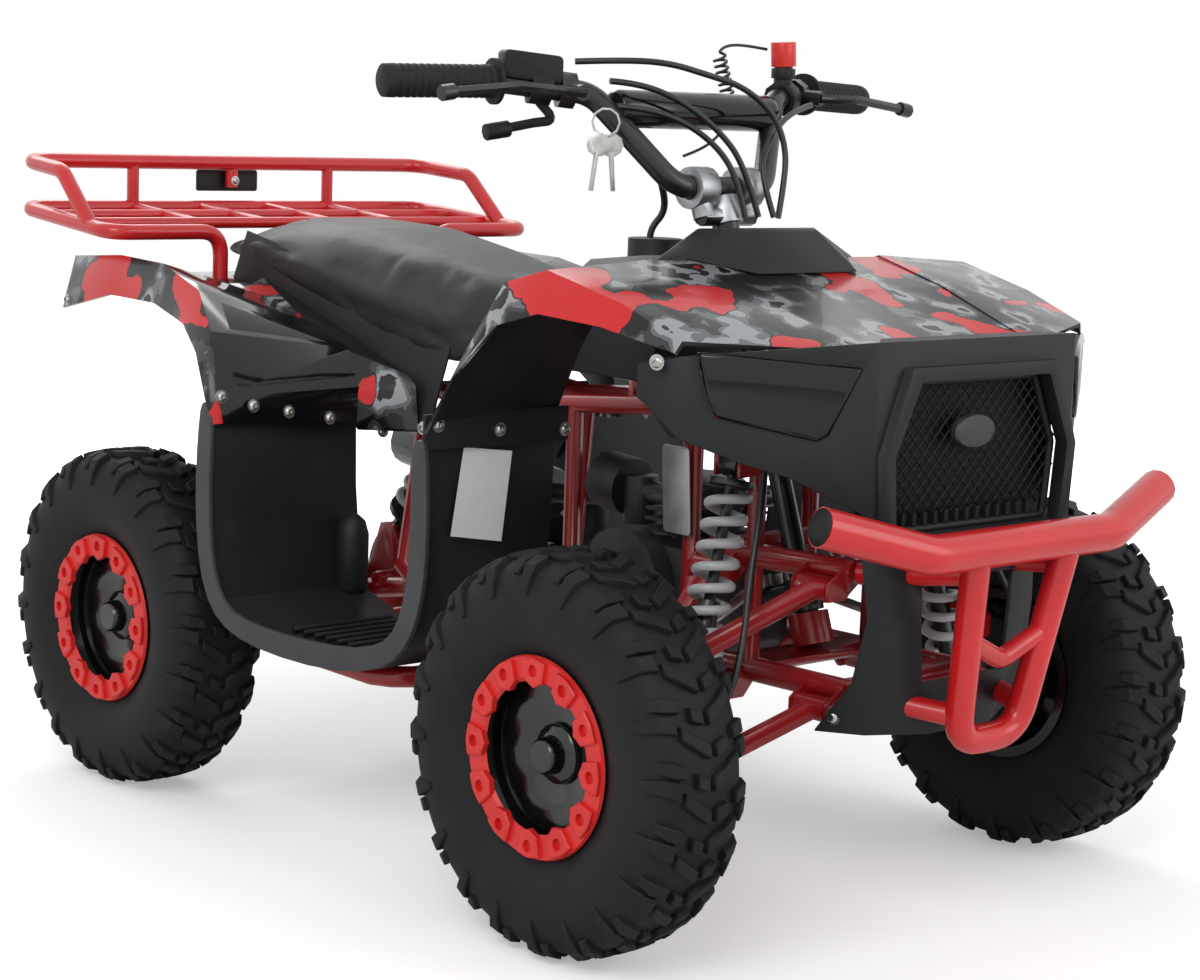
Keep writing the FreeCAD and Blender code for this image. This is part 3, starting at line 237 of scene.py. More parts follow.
engine_black = finish("cast_engine_black", "#1D1E20", "#2A2B2D", (0.42, 0.6), 30, 1.2, 0.1)
sheath = finish("pvc_cable_sheath", "#121213", "#1A1A1B", (0.32, 0.42), 20)
cap_red = finish("moulded_nylon_cap_red", "#D8261E", "#E03025", (0.3, 0.4), 20)
plate_grey = finish("brushed_data_plate", "#B9BBBD", "#CCCED0", (0.3, 0.42), 20, metal=0.8)
chain_steel = finish("oiled_chain_steel", "#3A3836", "#57534E", (0.32, 0.48), 10, metal=1.0)
# A lighter copy of the grained black: on the footwell rims it is a painted highlight along the edge, on the
# badge it is the badge's own grey.
rim_highlight_and_badge_grey = finish("painted_rim_highlight_and_badge_grey", "#2E3033", "#383A3D", (0.45, 0.58), 60, 0.9, 0.05)
seat_vinyl = finish("stitched_seat_vinyl", "#1C1D1F", "#242527", (0.4, 0.52), 40, 1.3, 0.12, shine=0.35)
lens = finish("smoked_polycarbonate_lens", "#08090A", "#0D0E10", (0.05, 0.09), 90, coat=0.3, shine=0.3)
label_white = finish("blank_paper_label", "#F0F1F1", "#F8F8F8", (0.4, 0.5), 30)

# %% [markdown]
# The body film is printed. Its pattern here is a camouflage of three greys with red splashes,
# each splash with a dark outline. It comes from noise of a real size, with hard steps between
# the colours, and it carries no words or numbers.

# %% The printed film
FILM_BLACK = colour("#0C0D0E")
WARP_MM, TONE_MM, SPLASH_MM = 16, 44, 72
WARP_BY, SPLASH_EDGE, SPLASH_RED = 0.012, 0.532, 0.545
film, tree, shader, place = blank("printed_camouflage_film", Roughness=0.24, Coat_Weight=0.15,
                                  Specular_IOR_Level=0.35)
bent = add(tree, "ShaderNodeTexNoise", {"Vector": place, "Scale": 1000 / WARP_MM, "Detail": 2.0})
shifted = add(tree, "ShaderNodeVectorMath", {0: bent.outputs["Color"], "Scale": WARP_BY}, operation="SCALE")
wavy = add(tree, "ShaderNodeVectorMath", {0: place, 1: shifted.outputs[0]}, operation="ADD").outputs[0]
tones = add(tree, "ShaderNodeTexNoise", {"Vector": wavy, "Scale": 1000 / TONE_MM, "Detail": 1.5})
greys = add(tree, "ShaderNodeValToRGB", {"Fac": tones.outputs["Fac"]})
greys.color_ramp.interpolation = "CONSTANT"
for spot, code in ((0.47, "#34373A"), (0.525, "#66696C"), (0.575, "#9A9DA0")):
    greys.color_ramp.elements.new(spot).color = colour(code)
greys.color_ramp.elements[0].color = FILM_BLACK
greys.color_ramp.elements[-1].position = 0.66
greys.color_ramp.elements[-1].color = FILM_BLACK
moved = add(tree, "ShaderNodeVectorMath", {0: wavy, 1: (0.37, 0.11, 0.23)}, operation="ADD").outputs[0]
splash = add(tree, "ShaderNodeTexNoise", {"Vector": moved, "Scale": 1000 / SPLASH_MM, "Detail": 1.2})
reds = add(tree, "ShaderNodeValToRGB", {"Fac": splash.outputs["Fac"]})
reds.color_ramp.interpolation = "CONSTANT"
reds.color_ramp.elements[0].color = FILM_BLACK
reds.color_ramp.elements[1].position = SPLASH_RED
reds.color_ramp.elements[1].color = colour("#D21F24")
cover = add(tree, "ShaderNodeMath", {0: splash.outputs["Fac"], 1: SPLASH_EDGE}, operation="GREATER_THAN")
layers = {"Factor": cover.outputs[0], 6: greys.outputs[0], 7: reds.outputs[0]}
print_mix = add(tree, "ShaderNodeMix", layers, data_type="RGBA")
tree.links.new(print_mix.outputs[2], shader.inputs["Base Color"])
print("finishes", len(bpy.data.materials))

# %% [markdown]
# A cable is a fixed length of something springy. Each one is a NURBS spline through a few given
# points, so it bends the way a sheath does.


# %% Cables
CABLE, HOSE, LANYARD = 0.006, 0.007, 0.003


def line_through(name, kind, points):
    """A curve with one spline through these points."""
    curve = bpy.data.curves.new(name, "CURVE")
    curve.dimensions = "3D"
    spline = curve.splines.new(kind)
    spline.points.add(len(points) - 1)
    for spot, point in zip(spline.points, points):
        spot.co = (*point, 1.0)
    return curve, spline


def cable(name, points, diameter, body, nodes=()):
    """A free cable as one NURBS spline."""
    curve, spline = line_through(name, "NURBS", points)
    spline.order_u = 3
    spline.use_endpoint_u = True
    spline.resolution_u = 8
    piece = placed(name, curve)
    line = bpy.data.meshes.new_from_object(piece.evaluated_get(bpy.context.evaluated_depsgraph_get()))
    curve.bevel_depth = diameter / 2
    curve.bevel_resolution = 4
    curve.use_fill_caps = True
    curve.materials.append(sheath)
    settle(piece, body, "rubber", *nodes)


throttle_route = [at(-138, -168, 769), at(-105, -200, 772), at(-66, -220, 771), at(-22, -229, 761),
                  at(22, -231, 752), at(58, -238, 728), at(70, -246, 694), at(62, -252, 658),
                  at(52, -256, 628)]
upper_brake_route = [at(-118, -196, 752), at(-89, -205, 751), at(-50, -220, 737), at(-14, -234, 712),
                     at(10, -250, 678), at(22, -259, 629)]
lower_brake_route = [at(-118, -206, 729), at(-87, -214, 728), at(-46, -226, 716), at(-16, -242, 692),
                     at(-2, -254, 662), at(4, -259, 629)]
left_brake_route = [at(160, -190, 737), at(128, -205, 733), at(88, -222, 722), at(50, -240, 700),
                    at(28, -252, 672), at(36, -266, 629)]
brake_route = [at(-98, -330, 478), at(-110, -412, 462), at(-134, -434, 392), at(-158, -446, 330),
               at(-186, -468, 268), at(-204, -468, 218), at(-216, -446, 184)]
vent_route = [at(0, -132, 602.3), at(0, -132, 611), at(12, -140, 628), at(2, -146, 652), at(-16, -148, 680),
              at(-50, -146, 698)]
cable("throttle_cable", throttle_route, CABLE, "steering", nodes=["bar_cables"])
cable("upper_brake_cable", upper_brake_route, CABLE, "steering")
cable("lower_brake_cable", lower_brake_route, CABLE, "steering")
cable("left_brake_cable", left_brake_route, CABLE, "steering")
cable("brake_cable_right", brake_route, CABLE, "chassis", nodes=["brake_cables"])
cable("brake_cable_left", other_side(brake_route), CABLE, "chassis")
cable("tank_vent_hose", vent_route, HOSE, "chassis", nodes=["vent_hose"])

# %% The coiled lanyard of the stop switch
lead = [at(132, -152, 791), at(104, -150, 794), at(78, -150, 793), at(66, -150, 786)]
tail = [at(83, -151, 737), at(74, -156, 718), at(52, -168, 702), at(18, -180, 690), at(-12, -188, 684)]
drop = tail[0] - lead[-1]
first_way = drop.cross(Vector((0, 1, 0))).normalized()
second_way = drop.normalized().cross(first_way)
turns, turn_steps, helix_radius = 7, 12, 0.0062
helix = []
for step in range(turns * turn_steps + 1):
    angle = step * math.tau / turn_steps
    share = 0.08 + 0.84 * step / (turns * turn_steps)
    swing = (first_way * math.cos(angle) + second_way * math.sin(angle)) * helix_radius
    helix.append(lead[-1] + drop * share + swing)
cable("stop_lanyard", lead + helix + tail, LANYARD, "steering", nodes=["lanyard_cord", "lanyard_coil"])


# %% [markdown]
# A CAD solid has knife edges. A moulded or pressed part never has, and its small radius is
# what catches the light. So each carried-over shape is merged, its coplanar triangles are
# dissolved, and a narrow bevel goes round its edges.


# %% Rounding a carried-over shape
MERGE_GAP = 0.00002
FLAT_ANGLE, CURVE_ANGLE = 1.5, 50


def dressed(node, slot, skin, edge_mm):
    """A merged copy of a CAD node with rounded edges and smooth curves, which stands for it."""
    piece = placed("dressed_" + node, frame["nodes"][node].data.copy())
    piece.data.materials.clear()
    piece.data.materials.append(skin)
    only(piece)
    bpy.ops.object.mode_set(mode="EDIT")
    bpy.ops.mesh.select_all(action="SELECT")
    bpy.ops.mesh.remove_doubles(threshold=MERGE_GAP)
    bpy.ops.mesh.dissolve_limited(angle_limit=math.radians(FLAT_ANGLE))
    bpy.ops.object.mode_set(mode="OBJECT")
    if edge_mm:
        bevelled(piece, edge_mm, 2, CURVE_ANGLE)
        apply_all(piece)
    smooth_under(piece, CURVE_ANGLE)
    for polygon in piece.data.polygons:
        polygon.material_index = 0
    return settle(piece, node_body[node], slot, node)


# %% Metal parts and plastic mouldings that keep their CAD shape, as slot, finish and edge in mm
plan = {
    "frame": ("frame_red", frame_coat, 0), "upper_arms": ("frame_red", frame_coat, 0),
    "lower_arms": ("frame_red", frame_coat, 0), "swingarm": ("frame_red", frame_coat, 0.8),
    "nose_cowl": ("black_plastic", matt_black, 2.5), "headlights": ("gloss_plastic", lens, 3),
    "hood": ("gloss_plastic", gloss_black, 1.5), "hood_cap": ("black_plastic", matt_black, 5),
    "footwell_right": ("black_plastic", matt_black, 1.2), "footwell_left": ("black_plastic", matt_black, 1.2),
    "rear_fender": ("gloss_plastic", gloss_black, 1.5), "tail_plate": ("black_plastic", matt_black, 0.8),
    "engine": ("cast_metal", engine_black, 1), "exhaust": ("black_steel", satin_black, 1.5),
    "fuel_tank": ("black_plastic", matt_black, 4), "id_plate": ("bare_steel", plate_grey, 0.2),
    "shock_bodies": ("black_steel", satin_black, 0.6), "chain": ("bare_steel", chain_steel, 0.5),
    "steering_column": ("black_steel", satin_black, 0.6), "brake_levers": ("black_steel", satin_black, 0),
    "throttle_box": ("black_plastic", dark_black, 1.5), "kill_switch": ("black_plastic", cap_red, 0.8),
    "keys": ("bare_steel", plated, 0.2), "knuckle_right": ("black_steel", satin_black, 0.6),
    "knuckle_left": ("black_steel", satin_black, 0.6), "tie_rod_right": ("bare_steel", plated, 0),
    "tie_rod_left": ("bare_steel", plated, 0), "rear_axle": ("bare_steel", plated, 0.4),
    "sprocket_and_brake_disc": ("bare_steel", chain_steel, 0.3),
}
dressed_pieces = {node: dressed(node, *work) for node, work in plan.items()}
print("dressed", len(dressed_pieces))


# %% [markdown]
# Some mouldings carry two finishes. The film is stuck to the outer faces of hood and fenders
# only, the hood's inner faces are matt, the stop switch has a red cap on a black base, and the bar
# clamps are bare castings on a painted column.


# %% Second finishes on some faces
def recolour(piece, skin, chosen):
    """Gives a second finish to the faces that the test picks by place in millimetres and direction."""
    piece.data.materials.append(skin)
    index = len(piece.data.materials) - 1
    count = 0
    for polygon in piece.data.polygons:
        if chosen(polygon.center * 1000 - Vector((0, FORWARD_SHIFT, 0)), polygon.normal):
            polygon.material_index = index
            count += 1
    print(piece.name, skin.name, count)


def hood_inside(p, n):
    """Faces that look down, inward, or flatly to the front or the back."""
    return n.z < 0.2 and abs(n.x) < 0.6 or p.x * n.x < -20 or n.z < -0.1


def hood_outside(p, n):
    """Top faces ahead of the bar and the sides that look outward."""
    return n.z > 0.25 and p.y < -215 or p.x * n.x > 120


def fender_film(p, n):
    """The fender's outer lip and the panel beside the seat."""
    lip = p.x * n.x > 130 and abs(p.x) > 258
    side_panel = 128 < abs(p.x) < 165 and p.x * n.x > 20 and p.y < 345
    return lip or side_panel


recolour(dressed_pieces["hood"], matt_black, hood_inside)
recolour(dressed_pieces["hood"], film, hood_outside)
recolour(dressed_pieces["rear_fender"], film, fender_film)
recolour(dressed_pieces["kill_switch"], dark_black, lambda p, n: p.z < 776)
recolour(dressed_pieces["steering_column"], cast_alloy, lambda p, n: p.z > 628)

# %% [markdown]
# A quad tyre is a wide soft carcass with tall rubber bars that are moulded with it. The carcass
# is a section spun round the axle. A bar is a short row of ribs that follows the section, so it
# bends down over the shoulder as the real one does, and it is laid round the tyre twenty times.


# %% Turned shapes
def turned(name, loops, hub, skin, steps=72):
    """Closed sections of (across, radius) in millimetres, spun round the wheel's axle."""
    points, edges = [], []
    for loop in loops:
        first = len(points)
        points += [hub + Vector((reach, 0, radius)) / 1000 for reach, radius in loop]
        edges += [(first + i, first + (i + 1) % len(loop)) for i in range(len(loop))]
    mesh = bpy.data.meshes.new(name)
    mesh.from_pydata(points, edges, [])
    piece = placed(name, mesh)
    only(piece)
    bpy.ops.object.mode_set(mode="EDIT")
    bpy.ops.mesh.select_all(action="SELECT")
    bpy.ops.mesh.spin(steps=steps, angle=math.tau, center=hub, axis=(1, 0, 0))
    bpy.ops.mesh.select_all(action="SELECT")
    bpy.ops.mesh.remove_doubles(threshold=0.00005)
    bpy.ops.object.mode_set(mode="OBJECT")
    outward(piece)
    smooth_under(piece, 38)
    mesh.materials.append(skin)
    return piece


# %% The tyre's section, from its middle to its bead
TREAD_RADIUS = 171.0
half_section = [(0, 171.2), (10, 171.1), (20, 170.8), (30, 169.6), (37, 167), (42.5, 162), (46.5, 154.5),
                (49, 145), (50.2, 134), (50, 123), (48, 112), (44.5, 102), (41, 95), (37.5, 89), (35.4, 84),
                (34.9, 80.2)]
section = half_section + [(-a, r) for a, r in reversed(half_section[1:])]


def on_section(distance):
    """Place and outward direction on the section, a distance in millimetres from its middle."""
    for (a, r), (b, q) in zip(half_section, half_section[1:]):
        run = math.hypot(b - a, q - r)
        if distance <= run:
            share = distance / run
            return (a + (b - a) * share, r + (q - r) * share), (-(q - r) / run, (b - a) / run)
        distance -= run
    return half_section[-1], (1, 0)


def on_tread(hub, side, distance, arc, height):
    """A point above the tread: millimetres from its middle, round it and off its surface."""
    (a, r), (sideways, outwards) = on_section(distance)
    reach, radius = a + sideways * height, r + outwards * height
    angle = arc / TREAD_RADIUS
    return hub + Vector((side * reach, radius * math.sin(angle), radius * math.cos(angle))) / 1000


# %% Tread bars, each with ribs of (distance from the middle, start, end, height)
TREAD_REPEATS = 20
FOOT_SPREAD = 1.2
tread_pitch = math.tau * TREAD_RADIUS / TREAD_REPEATS
tread_bars = [
    [(1.5, 3, 14, 6.5), (15, 11, 22, 6.5), (29, 21, 32, 6.3)],
    [(32, 26, 41, 6.4), (44, 30, 44, 6.0), (56, 32, 43, 4.2), (68, 35, 41, 2.0)],
    [(26, 43, 53, 6.4), (39, 46, 58, 6.0), (50, 50, 59, 4.0)],
    [(5, 31, 41, 6.4), (17, 35, 46, 6.4)],
]


def tread(name, hub, skin):
    """All the bars of one tyre as one mesh."""
    points, faces = [], []
    for repeat in range(TREAD_REPEATS):
        for side in (1, -1):
            start = (repeat + (0.5 if side < 0 else 0.0)) * tread_pitch
            for bar in tread_bars:
                first = len(points)
                for distance, low, high, tall in bar:
                    points += [on_tread(hub, side, distance, start + low - FOOT_SPREAD, -1.0),
                               on_tread(hub, side, distance, start + low, tall),
                               on_tread(hub, side, distance, start + high, tall),
                               on_tread(hub, side, distance, start + high + FOOT_SPREAD, -1.0)]
                last = first + 4 * (len(bar) - 1)
                faces += [(first, first + 1, first + 2, first + 3), (last + 3, last + 2, last + 1, last)]
                for rib in range(first, last, 4):
                    for k in range(4):
                        after = (k + 1) % 4
                        faces.append((rib + k, rib + 4 + k, rib + 4 + after, rib + after))
    mesh = bpy.data.meshes.new(name)
    mesh.from_pydata(points, [], faces)
    piece = placed(name, mesh)
    outward(piece)
    bevelled(piece, 0.9, 1, 40)
    apply_all(piece)
    smooth_under(piece, 35)
    mesh.materials.append(skin)
    return piece


# %% [markdown]
# The black steel rim is dished deeply towards its hub. A red moulded ring of twelve blocks hides
# the bead. Each block is a small shield with a round bolt hole, made once and turned by thirty
# degrees for the next.

# %% Red ring of shields
BLOCKS, SIDE_PARTS = 12, 4
BOLT_CIRCLE, HOLE_RADIUS = 76.5, 5.4
shield = [(61.5, 0.0), (67.5, 11.0), (85.5, 14.5), (87.0, 0.0), (85.5, -14.5), (67.5, -11.0)]
outline = []
for (r, s), (next_r, next_s) in zip(shield, shield[1:] + shield[:1]):
    for part in range(SIDE_PARTS):
        outline.append((r + (next_r - r) * part / SIDE_PARTS, s + (next_s - s) * part / SIDE_PARTS))
hole = []
for radius, shift in outline:
    turn = math.atan2(shift, radius - BOLT_CIRCLE)
    hole.append((BOLT_CIRCLE + HOLE_RADIUS * math.cos(turn), HOLE_RADIUS * math.sin(turn)))


def shrunk(loop, share, narrow=None):
    """A loop of (radius, shift) drawn in towards the bolt circle."""
    return [(BOLT_CIRCLE + (r - BOLT_CIRCLE) * share, s * (narrow or share)) for r, s in loop]


FLOOR_DEPTH = 42.5
shield_loops = [([(r, s * 1.02) for r, s in outline], 41.0), (outline, 46.5),
                (shrunk(outline, 0.9, 0.88), 47.6), (hole, 47.4), (shrunk(hole, 0.98), FLOOR_DEPTH)]
band_section = [(40.4, 66), (40.4, 88.6), (43.2, 87.2), (43.2, 69)]


def shield_ring(name, hub, side):
    """Red ring with twelve raised shields, each with a hole and a plated bolt in it."""
    mesh = bpy.data.meshes.new(name)
    shape = bmesh.new()

    def put(turn, radius, shift, depth):
        angle = turn + shift / radius
        place = Vector((side * depth, radius * math.sin(angle), radius * math.cos(angle)))
        return shape.verts.new(hub + place / 1000)

    for block in range(BLOCKS):
        turn = block * math.tau / BLOCKS
        loops = [[put(turn, r, s, depth) for r, s in loop] for loop, depth in shield_loops]
        centre = put(turn, BOLT_CIRCLE, 0.0, FLOOR_DEPTH)
        for first, second in zip(loops, loops[1:]):
            for k in range(len(first)):
                after = (k + 1) % len(first)
                shape.faces.new((first[k], first[after], second[after], second[k]))
        bottom = loops[-1]
        for k in range(len(bottom)):
            shape.faces.new((bottom[k], bottom[(k + 1) % len(bottom)], centre)).material_index = 1
    shape.to_mesh(mesh)
    shape.free()
    piece = placed(name, mesh)
    band = turned(name + "_band", [[(side * a, r) for a, r in band_section]], hub, ring_red)
    only(piece, band)
    bpy.ops.object.join()
    outward(piece)
    smooth_under(piece, 30)
    return piece


# %% Whole wheels
rim_barrel = [(-40, 86), (-40, 76), (40, 76), (40, 86), (37.5, 86.5), (36, 84), (35, 80), (-35, 80),
              (-36, 84), (-37.5, 86.5)]
rim_disc = [(9, 24), (13, 40), (17, 56), (17, 70), (11, 77), (15, 77), (21, 70), (21, 55), (17, 39),
            (14, 24)]
rim_hub = [(-22, 12.7), (-22, 26), (18, 26), (20, 24), (22, 17), (33, 15.5), (35, 13.5), (35, 0.05),
           (14, 0.05), (14, 12.7)]


def wheel(tag, hub, body, side, tyre_node, rim_node):
    """Tyre with its tread, rim and red ring, on one body."""
    tyre = turned("tyre_" + tag, [section], hub, tyre_rubber, steps=96)
    bars = tread("tread_" + tag, hub, tyre_rubber)
    only(tyre, bars)
    bpy.ops.object.join()
    settle(tyre, body, "tyre", tyre_node)
    loops = [[(side * a, r) for a, r in loop] for loop in (rim_barrel, rim_disc, rim_hub)]
    rim = turned("rim_" + tag, loops, hub, rim_enamel)
    settle(rim, body, "rim_black", rim_node)
    ring = shield_ring("ring_" + tag, hub, side)
    ring.data.materials.clear()
    ring.data.materials.append(ring_red)
    ring.data.materials.append(plated)
    settle(ring, body, "bumper_red")
    print(tag, len(tyre.data.polygons), len(rim.data.polygons), len(ring.data.polygons))


front_hub = Vector((-306, -374, 177.8)) / 1000
rear_hub = Vector((-303, 333, 177.8)) / 1000
for tag, side in (("right", -1), ("left", 1)):
    mirror = Vector((-side, 1, 1))
    wheel("front_" + tag, front_hub * mirror, "front_wheel_" + tag, side, "tyre_front_" + tag,
          "rim_front_" + tag)
    wheel("rear_" + tag, rear_hub * mirror, "rear_axle", side, "rear_tyres", "rear_rims")

# %% [markdown]
# Bent tubes come next. Their corners are arcs of one bend radius, the way a tube bender leaves
# them, and the tube is swept along the path with closed ends.


# %% Bent tubes
LEAST_ANGLE, LEG_SHARE = 0.2, 0.48


def rounded(points, bend, steps=7):
    """The path with each corner as a curve of the bend's size, all in metres."""
    path = [points[0]]
    for before, corner, after in zip(points, points[1:], points[2:]):
        back = (before - corner).normalized()
        on = (after - corner).normalized()
        reach = bend / 1000 / math.tan(max(back.angle(on), LEAST_ANGLE) / 2)
        reach = min(reach, LEG_SHARE * (before - corner).length, LEG_SHARE * (after - corner).length)
        start, end = corner + back * reach, corner + on * reach
        for t in (step / steps for step in range(steps + 1)):
            path.append((1 - t) ** 2 * start + 2 * t * (1 - t) * corner + t * t * end)
    return path + [points[-1]]


def tubes(name, runs, skin, bent=True):
    """One mesh of round tubes, each run as (points, diameter, bend) in millimetres."""
    made = []
    for points, diameter, bend in runs:
        path = rounded(points, bend) if bent and len(points) > 2 else points
        curve = line_through(name, "POLY", path)[0]
        curve.bevel_depth = diameter / 2000
        curve.bevel_resolution = 5
        curve.use_fill_caps = True
        only(placed(name, curve))
        bpy.ops.object.convert(target="MESH")
        made.append(bpy.context.object)
    only(*made)
    if len(made) > 1:
        bpy.ops.object.join()
    piece = bpy.context.object
    piece.name = name
    piece.data.materials.clear()
    piece.data.materials.append(skin)
    smooth_under(piece, 40)
    return piece


def pair(points):
    """A path on the right side and its mirror on the left."""
    return [at(*p) for p in points], [at(-x, y, z) for x, y, z in points]


def across(points):
    """A half path from the right side, carried on to the left one."""
    right_half, left_half = pair(points)
    return right_half + left_half[::-1]


# %% Bumper, rack and handlebar
bumper = [(across([(-228, -591, 397), (-121, -619, 368)]), 35, 60),
          (across([(-61, -618, 360), (-40, -590, 190)]), 26, 34),
          ([at(-50, -606, 285), at(0, -600, 262), at(50, -606, 285)], 18, 20)]
for stay in (((-58, -612, 345), (-80, -504.5, 331)), ((-42, -592, 215), (-80, -504.5, 223))):
    bumper += [(half, 20, 0) for half in pair(stay)]
settle(tubes("bumper_tubes", bumper, bright_coat), "chassis", "bumper_red", "front_bumper")

rack = [(across([(-150, 400, 512), (-150, 400, 577), (-290, 400, 577), (-278, 601, 593)]), 17, 26),
        (across([(-287, 446, 582), (-285, 508, 638), (-278, 601, 646)]), 17, 32)]
rack += [([at(-284, y, z), at(284, y, z)], 13, 0) for y, z in ((470, 582.6), (535, 587.8))]
for x in (-138, -46, 46, 138):
    rack.append(([at(x, 470, 582.6), at(x, 601, 593)], 13, 0))
rack += [(half, 14, 0) for half in pair([(-138, 601, 593), (-138, 601, 646)])]
rack.append(([at(0, 604, 646), at(0, 604, 617)], 15, 0))
settle(tubes("rack_tubes", rack, bright_coat), "chassis", "bumper_red", "rear_rack")

half_bar = [(-313, -110, 745), (-201, -135, 748), (-122, -174, 740), (-58, -228, 655)]
settle(tubes("bar_tube", [(across(half_bar), 22.2, 40)], satin_black), "steering", "black_steel", "handlebar")
print("tubes: bumper", len(bumper), "rack", len(rack), "bar", 1)


# %% [markdown]
# Small round parts are profiles turned about a line, such as the grips with their ribs, the plugs
# of the bumper, the pad on the bar and the button heads of the bolts.


# %% Turned small parts
def along(start, end, outline, steps=28):
    """A profile of (distance, radius) in millimetres, turned about the line from start to end."""
    axis = (end - start).normalized()
    side = axis.orthogonal().normalized()
    third = axis.cross(side)
    points, faces = [], []
    for distance, radius in outline:
        for a in (k * math.tau / steps for k in range(steps)):
            spoke = (side * math.cos(a) + third * math.sin(a)) * max(radius, 0.01) / 1000
            points.append(start + axis * distance / 1000 + spoke)
    for first in range(0, (len(outline) - 1) * steps, steps):
        for k in range(steps):
            after = (k + 1) % steps
            faces.append((first + k, first + after, first + steps + after, first + steps + k))
    faces += [tuple(reversed(range(steps))), tuple(range(len(points) - steps, len(points)))]
    return points, faces


def mesh_piece(name, parts, skin):
    """One object from several (points, faces) parts, with its normals turned outward."""
    points, faces = [], []
    for more, rings in parts:
        faces += [tuple(i + len(points) for i in ring) for ring in rings]
        points += more
    mesh = bpy.data.meshes.new(name)
    mesh.from_pydata(points, [], faces)
    mesh.materials.append(skin)
    piece = placed(name, mesh)
    outward(piece)
    smooth_under(piece, 40)
    return piece


def thickened(piece, thickness_mm, edge_mm, offset=0.0):
    """Walls of one thickness from a surface, with rounded edges."""
    wall = piece.modifiers.new("wall", "SOLIDIFY")
    wall.thickness = thickness_mm / 1000
    wall.offset = offset
    if edge_mm:
        bevelled(piece, edge_mm, 2, 40)
    apply_all(piece)
    smooth_under(piece, 40)
    return piece


def strip(rows):
    """Quads between rows of points, each row with the same count."""
    width = len(rows[0])
    faces = [(r * width + k, r * width + k + 1, (r + 1) * width + k + 1, (r + 1) * width + k)
             for r in range(len(rows) - 1) for k in range(width - 1)]
    return [p for row in rows for p in row], faces


# %% Plugs, grips and the bar's pad
plug = [(-1.5, 16.2), (3.5, 16.2), (5.5, 14), (6.5, 9), (6.5, 0)]
plugs = []
for side in (-1, 1):
    tip, root = at(side * 228, -591, 397), at(side * 121, -619, 368)
    way = (tip - root).normalized()
    plugs.append(along(tip - way * 0.003, tip, plug))
settle(mesh_piece("bumper_end_plugs", plugs, dark_black), "chassis", "black_plastic")

RIB_TOP, RIB_FOOT, RIB_PITCH = 15.6, 14.6, 7
grip_parts = []
for side in (-1, 1):
    inner, outer = at(side * 201, -135, 748), at(side * 313, -110, 745)
    run = (outer - inner).length * 1000
    ribs = [(4, 11.2), (4, 21.5), (8, 21.5), (9, 16)]
    distance = 12
    while distance < run - 8:
        ribs += [(distance, RIB_TOP), (distance + 1.2, RIB_FOOT), (distance + 3.2, RIB_FOOT),
                 (distance + 4.4, RIB_TOP)]
        distance += RIB_PITCH
    ribs += [(run - 3, RIB_TOP), (run + 4, 15.2), (run + 6, 12), (run + 6, 0)]
    grip_parts.append(along(inner, outer, ribs))
settle(mesh_piece("ribbed_grips", grip_parts, rubber), "steering", "rubber", "grips")

pad_section = [(0, 9), (0.5, 15), (3, 17.4), (8, 18), (200, 18), (205, 17.4), (207.5, 15), (208, 9)]
pad_roll = along(at(-104, -186, 727), at(104, -186, 727), pad_section)
pad = mesh_piece("bar_pad_roll", [pad_roll], gloss_black)
settle(pad, "steering", "gloss_plastic", "bar_pad")
print("plugs", len(plugs), "grips", len(grip_parts), "pad faces", len(pad.data.polygons))


# %% Bolts
bolt_shape = [(0, 1.25), (0.18, 1.25), (0.2, 0.92), (0.5, 0.84), (0.68, 0.6), (0.7, 0.42), (0.35, 0.36),
              (0.35, 0.0)]


def bolt(spot, direction, size):
    """A button head on its washer with a socket, for a radius in millimetres."""
    profile = [(d * size, r * size) for d, r in bolt_shape]
    return along(spot, spot + Vector(direction).normalized(), profile, 14)


heads = []
for side in (-1, 1):
    for x, z in ((340, 432), (292, 421), (249, 413), (198, 404), (132, 387)):
        heads.append((at(side * min(x, 330), 125 if x > 140 else 122, z), (0, -1, 0.15), 5.5))
    for x, z in ((298, 437), (225, 429), (145, 425)):
        heads.append((at(side * x, -178.5, z), (0, -1, 0), 5.5))
    heads.append((at(side * 283, -449, 520), (side * 1.0, -0.35, 0), 5.5))
    heads.append((at(side * 287, 492, 498), (side * 1.0, 0, 0.1), 5))
    heads.append((at(side * 111, -508, 207), (side * 1.0, -0.3, 0), 6))
    heads.append((at(side * 152, 28, 402), (side * 1.0, -0.3, 0.2), 5.5))
heads.append((at(0, 596.5, 625), (0, -1, 0), 4.5))
for x, z in ((-80, 331), (-80, 223), (80, 331), (80, 223)):
    heads.append((at(x, -506, z), (0, -1, 0), 6))
settle(mesh_piece("panel_bolts", [bolt(*head) for head in heads], plated), "chassis", "bare_steel")
print("bolts", len(heads))

# %% [markdown]
# A coil spring is a helix of round wire between two seats. The front pair and the rear one share
# one recipe: its axis, the coil's radius and the number of turns.


# %% Coil springs
TOP_SEAT, FOOT_SEAT, SPRING_WIRE, STEPS_A_TURN = 25, 41, 9, 20


def coil(top, foot, radius, turns):
    """Points of a helix between the spring seats on the line from top to foot, in metres."""
    axis = (foot - top).normalized()
    side = axis.cross(Vector((0, 1, 0))).normalized()
    third = axis.cross(side)
    rise = ((foot - top).length * 1000 - TOP_SEAT - FOOT_SEAT) / (turns * STEPS_A_TURN) / 1000
    helix = []
    for i in range(turns * STEPS_A_TURN + 1):
        angle = i * math.tau / STEPS_A_TURN
        swing = (side * math.cos(angle) + third * math.sin(angle)) * radius / 1000
        helix.append(top + axis * (TOP_SEAT / 1000 + rise * i) + swing)
    return helix


